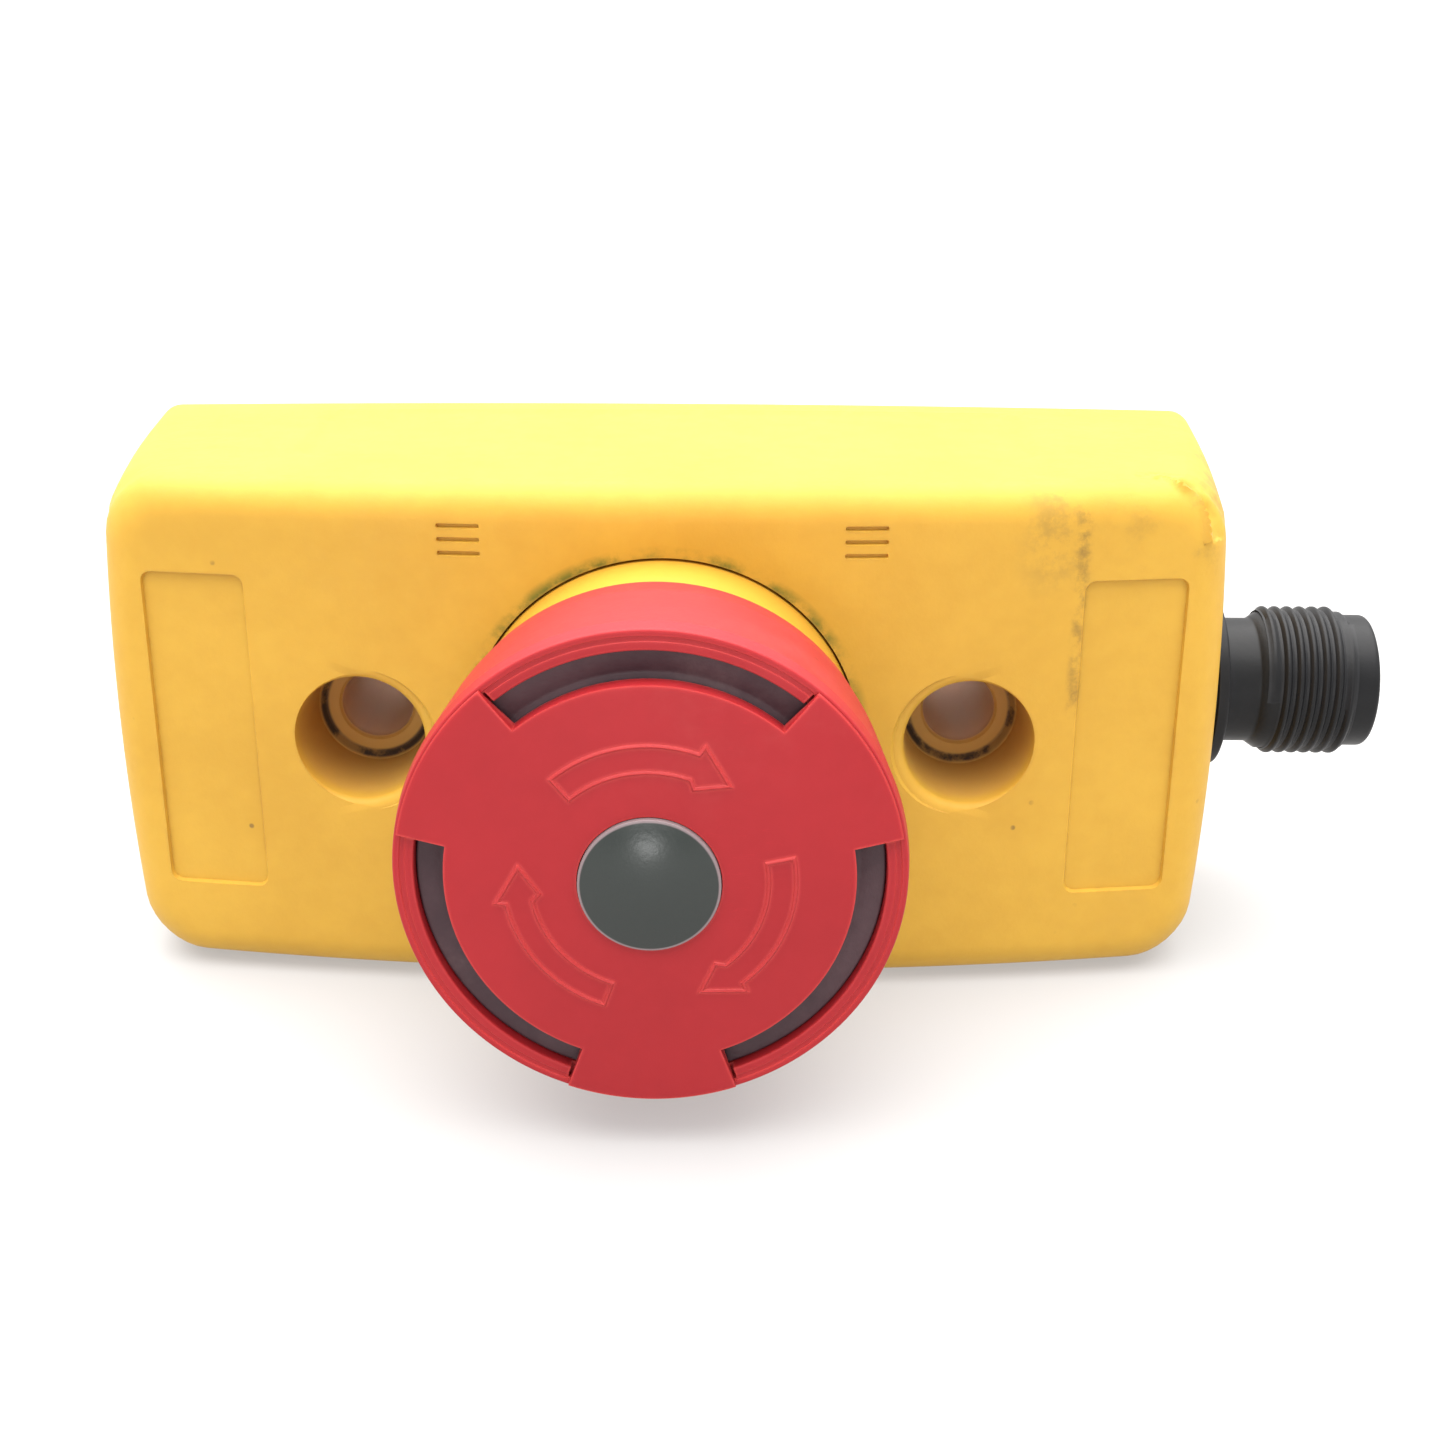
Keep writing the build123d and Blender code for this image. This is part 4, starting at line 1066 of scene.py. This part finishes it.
def build_stage(p):
    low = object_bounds()[0].z
    size = 8.0
    mesh = bpy.data.meshes.new("floor")
    mesh.from_pydata([(-size, -size, low), (size, -size, low), (size, size, low),
                      (-size, size, low)], [], [[0, 1, 2, 3]])
    floor = bpy.data.objects.new("floor", mesh)
    bpy.context.scene.collection.objects.link(floor)
    material, tree, shader = start_material("Floor white", 0.6, spec=0.2)
    slow = spread(tree, noise(tree, add(tree, "ShaderNodeTexCoord").outputs["Object"], 3.0, 3.0),
                  0.3, 0.7)
    tree.links.new(mix(tree, slow, (0.24, 0.237, 0.235, 1), (0.27, 0.267, 0.265, 1)),
                   shader.inputs["Base Color"])
    shader.inputs["Emission Color"].default_value = (1.0, 0.99, 0.985, 1)
    shader.inputs["Emission Strength"].default_value = p.floor_glow
    floor.data.materials.append(material)
    floor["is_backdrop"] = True
    world = bpy.data.worlds.new("Studio")
    world.use_nodes = True
    tree = world.node_tree
    parts = add(tree, "ShaderNodeSeparateXYZ", {0: add(tree,
                                                       "ShaderNodeTexCoord").outputs["Generated"]}).outputs
    above = spread(tree, parts[2], 0.05, 0.9, 0.0, 1.2)
    behind = spread(tree, parts[1], -0.4, 0.6, 0.0, 0.3)
    sides = times(tree, maths(tree, "ABSOLUTE", parts[0]), 0.3)
    level = plus(tree, plus(tree, above, behind), plus(tree, sides, p.fill))
    tree.nodes["Background"].inputs[0].default_value = (1.0, 1.0, 1.0, 1)
    tree.links.new(level, tree.nodes["Background"].inputs[1])
    bpy.context.scene.world = world
    data = bpy.data.lights.new("sky_light", "SUN")
    data.energy = p.top_power
    data.angle = math.radians(85)
    data.color = (1.0, 0.985, 0.97)
    lamp = bpy.data.objects.new("sky_light", data)
    lamp.rotation_mode = "QUATERNION"
    lamp.rotation_quaternion = Vector((0.05, -0.10, -1.0)).to_track_quat("-Z", "Y")
    bpy.context.scene.collection.objects.link(lamp)
    area("front_light", (-0.03, -0.62, 0.03), (0, -0.05, 0), (0.12, 0.06), p.front_power)
    bpy.context.scene.view_settings.view_transform = "Standard"
    data = bpy.data.cameras.new("camera")
    camera = bpy.data.objects.new("camera", data)
    bpy.context.scene.collection.objects.link(camera)
    data.sensor_width = 36.0
    data.lens = 48.23
    data.clip_start = 0.01
    camera.location = (5.39 * MM, -158.36 * MM, 52.81 * MM)
    camera.rotation_mode = "XYZ"
    camera.rotation_euler = (math.pi / 2 - 0.3686, -0.0045, 0.0099)
    bpy.context.scene.camera = camera


# ---- add-on -------------------------------------------------------------------
def length_prop(name, description, default, low=0.0):
    """A length in metres."""
    return bpy.props.FloatProperty(name=name, description=description, default=default, min=low,
                                   max=0.1, subtype="DISTANCE", unit="LENGTH", precision=5)


def light_prop(name, description, default, unit="NONE"):
    return bpy.props.FloatProperty(name=name, description=description, default=default, min=0.0,
                                   max=100.0, unit=unit)


def colour_prop(name, description, default):
    return bpy.props.FloatVectorProperty(name=name, description=description, default=default,
                                         size=3, min=0.0, max=1.0, subtype="COLOR")


class STOP_PG_settings(bpy.types.PropertyGroup):
    """Sizes, colours and lights that can be changed."""
    front_edge: length_prop("Front edge", "Rounding round the front face", 0.0026)
    lip: length_prop("Pocket lip", "Rounding of the screw pocket mouths", 0.0008)
    panel_depth: length_prop("Panel depth", "Depth of the blank panels", 0.00035)
    slot_angle: bpy.props.FloatProperty(name="Slot angle", description="Length of each slot",
                                        default=math.radians(80), min=math.radians(10),
                                        max=math.radians(110), subtype="ANGLE", unit="ROTATION")
    face_edge: length_prop("Face edge", "Rounding of the face edges", 0.00012)
    arrow_line: length_prop("Arrow line", "Width of the raised arrow outline", 0.00034)
    arrow_rise: length_prop("Arrow rise", "Height of the raised arrow outline", 0.00014)
    lens_dome: length_prop("Lens dome", "Rise of the lens", 0.00085, 0.0001)
    pitch: length_prop("Thread pitch", "Pitch of the inlet thread", 0.001, 0.0002)
    housing_colour: colour_prop("Housing colour", "Colour of the housing", (0.56, 0.325, 0.042))
    # the default collar colour is darker than the housing's, as painted shade from the button's cap
    collar_shaded_colour: colour_prop("Collar colour", "Colour of the collar", (0.56, 0.295, 0.030))
    button_colour: colour_prop("Button colour", "Colour of the skirt and the face",
                               (0.33, 0.0145, 0.019))
    slot_colour: colour_prop("Slot colour", "Colour of the ring in the slots",
                             (0.050, 0.024, 0.030))
    lens_colour: colour_prop("Lens colour", "Colour of the lens", (0.017, 0.021, 0.019))
    inlet_colour: colour_prop("Inlet colour", "Colour of the inlet", (0.005, 0.005, 0.0055))
    top_power: light_prop("Top light", "Strength of the light above", 6.5)
    front_power: light_prop("Front light", "Power of the light in front", 0.42, "POWER")
    floor_glow: light_prop("Floor glow", "Light given out by the white floor", 0.40)
    fill: light_prop("Fill", "Strength of the white surroundings", 0.68)


class STOP_OT_housing(bpy.types.Operator):
    """Build the yellow housing"""
    bl_idname = "stop_button.housing"
    bl_label = "Housing"

    def execute(self, context):
        build_housing(context.scene.stop_button)
        return {"FINISHED"}


class STOP_OT_collar(bpy.types.Operator):
    """Build the yellow collar"""
    bl_idname = "stop_button.collar"
    bl_label = "Collar"

    def execute(self, context):
        build_collar(context.scene.stop_button)
        return {"FINISHED"}


class STOP_OT_skirt(bpy.types.Operator):
    """Build the red skirt of the button"""
    bl_idname = "stop_button.skirt"
    bl_label = "Button skirt"

    def execute(self, context):
        build_skirt(context.scene.stop_button)
        return {"FINISHED"}


class STOP_OT_face(bpy.types.Operator):
    """Build the red face with its arrows"""
    bl_idname = "stop_button.face"
    bl_label = "Button face"

    def execute(self, context):
        build_face(context.scene.stop_button)
        return {"FINISHED"}


class STOP_OT_slot_ring(bpy.types.Operator):
    """Build the dark ring under the slots"""
    bl_idname = "stop_button.slot_ring"
    bl_label = "Slot ring"

    def execute(self, context):
        build_slot_ring(context.scene.stop_button)
        return {"FINISHED"}


class STOP_OT_lens(bpy.types.Operator):
    """Build the lens"""
    bl_idname = "stop_button.lens"
    bl_label = "Lens"

    def execute(self, context):
        build_lens(context.scene.stop_button)
        return {"FINISHED"}


class STOP_OT_inlet(bpy.types.Operator):
    """Build the threaded inlet"""
    bl_idname = "stop_button.inlet"
    bl_label = "Inlet"

    def execute(self, context):
        build_inlet(context.scene.stop_button)
        return {"FINISHED"}


class STOP_OT_finishes(bpy.types.Operator):
    """Paint the pieces kept from the CAD"""
    bl_idname = "stop_button.finishes"
    bl_label = "Finishes"

    def execute(self, context):
        paint_rest(context.scene.stop_button)
        return {"FINISHED"}


class STOP_OT_stage(bpy.types.Operator):
    """Build the floor, the lights and the camera"""
    bl_idname = "stop_button.stage"
    bl_label = "Stage"

    def execute(self, context):
        build_stage(context.scene.stop_button)
        return {"FINISHED"}


OPERATORS = (STOP_OT_housing, STOP_OT_collar, STOP_OT_skirt, STOP_OT_face,
             STOP_OT_slot_ring, STOP_OT_lens, STOP_OT_inlet, STOP_OT_finishes,
             STOP_OT_stage)


class STOP_PT_panel(bpy.types.Panel):
    """Lists the pieces."""
    bl_idname = "STOP_PT_panel"
    bl_label = "Stop button"
    bl_space_type = "VIEW_3D"
    bl_region_type = "UI"
    bl_category = "Stop button"

    def draw(self, context):
        for cls in OPERATORS:
            self.layout.operator(cls.bl_idname, text=cls.bl_label)
        for name in STOP_PG_settings.__annotations__:
            self.layout.prop(context.scene.stop_button, name)


CLASSES = [STOP_PG_settings, *OPERATORS, STOP_PT_panel]


def register():
    for cls in CLASSES:
        bpy.utils.register_class(cls)
    bpy.types.Scene.stop_button = bpy.props.PointerProperty(type=STOP_PG_settings)


def unregister():
    del bpy.types.Scene.stop_button
    for cls in reversed(CLASSES):
        bpy.utils.unregister_class(cls)


def main():
    register()
    bpy.ops.stop_button.housing()
    bpy.ops.stop_button.collar()
    bpy.ops.stop_button.skirt()
    bpy.ops.stop_button.face()
    bpy.ops.stop_button.slot_ring()
    bpy.ops.stop_button.lens()
    bpy.ops.stop_button.inlet()
    bpy.ops.stop_button.finishes()
    bpy.ops.stop_button.stage()


if __name__ == "__main__":
    main()
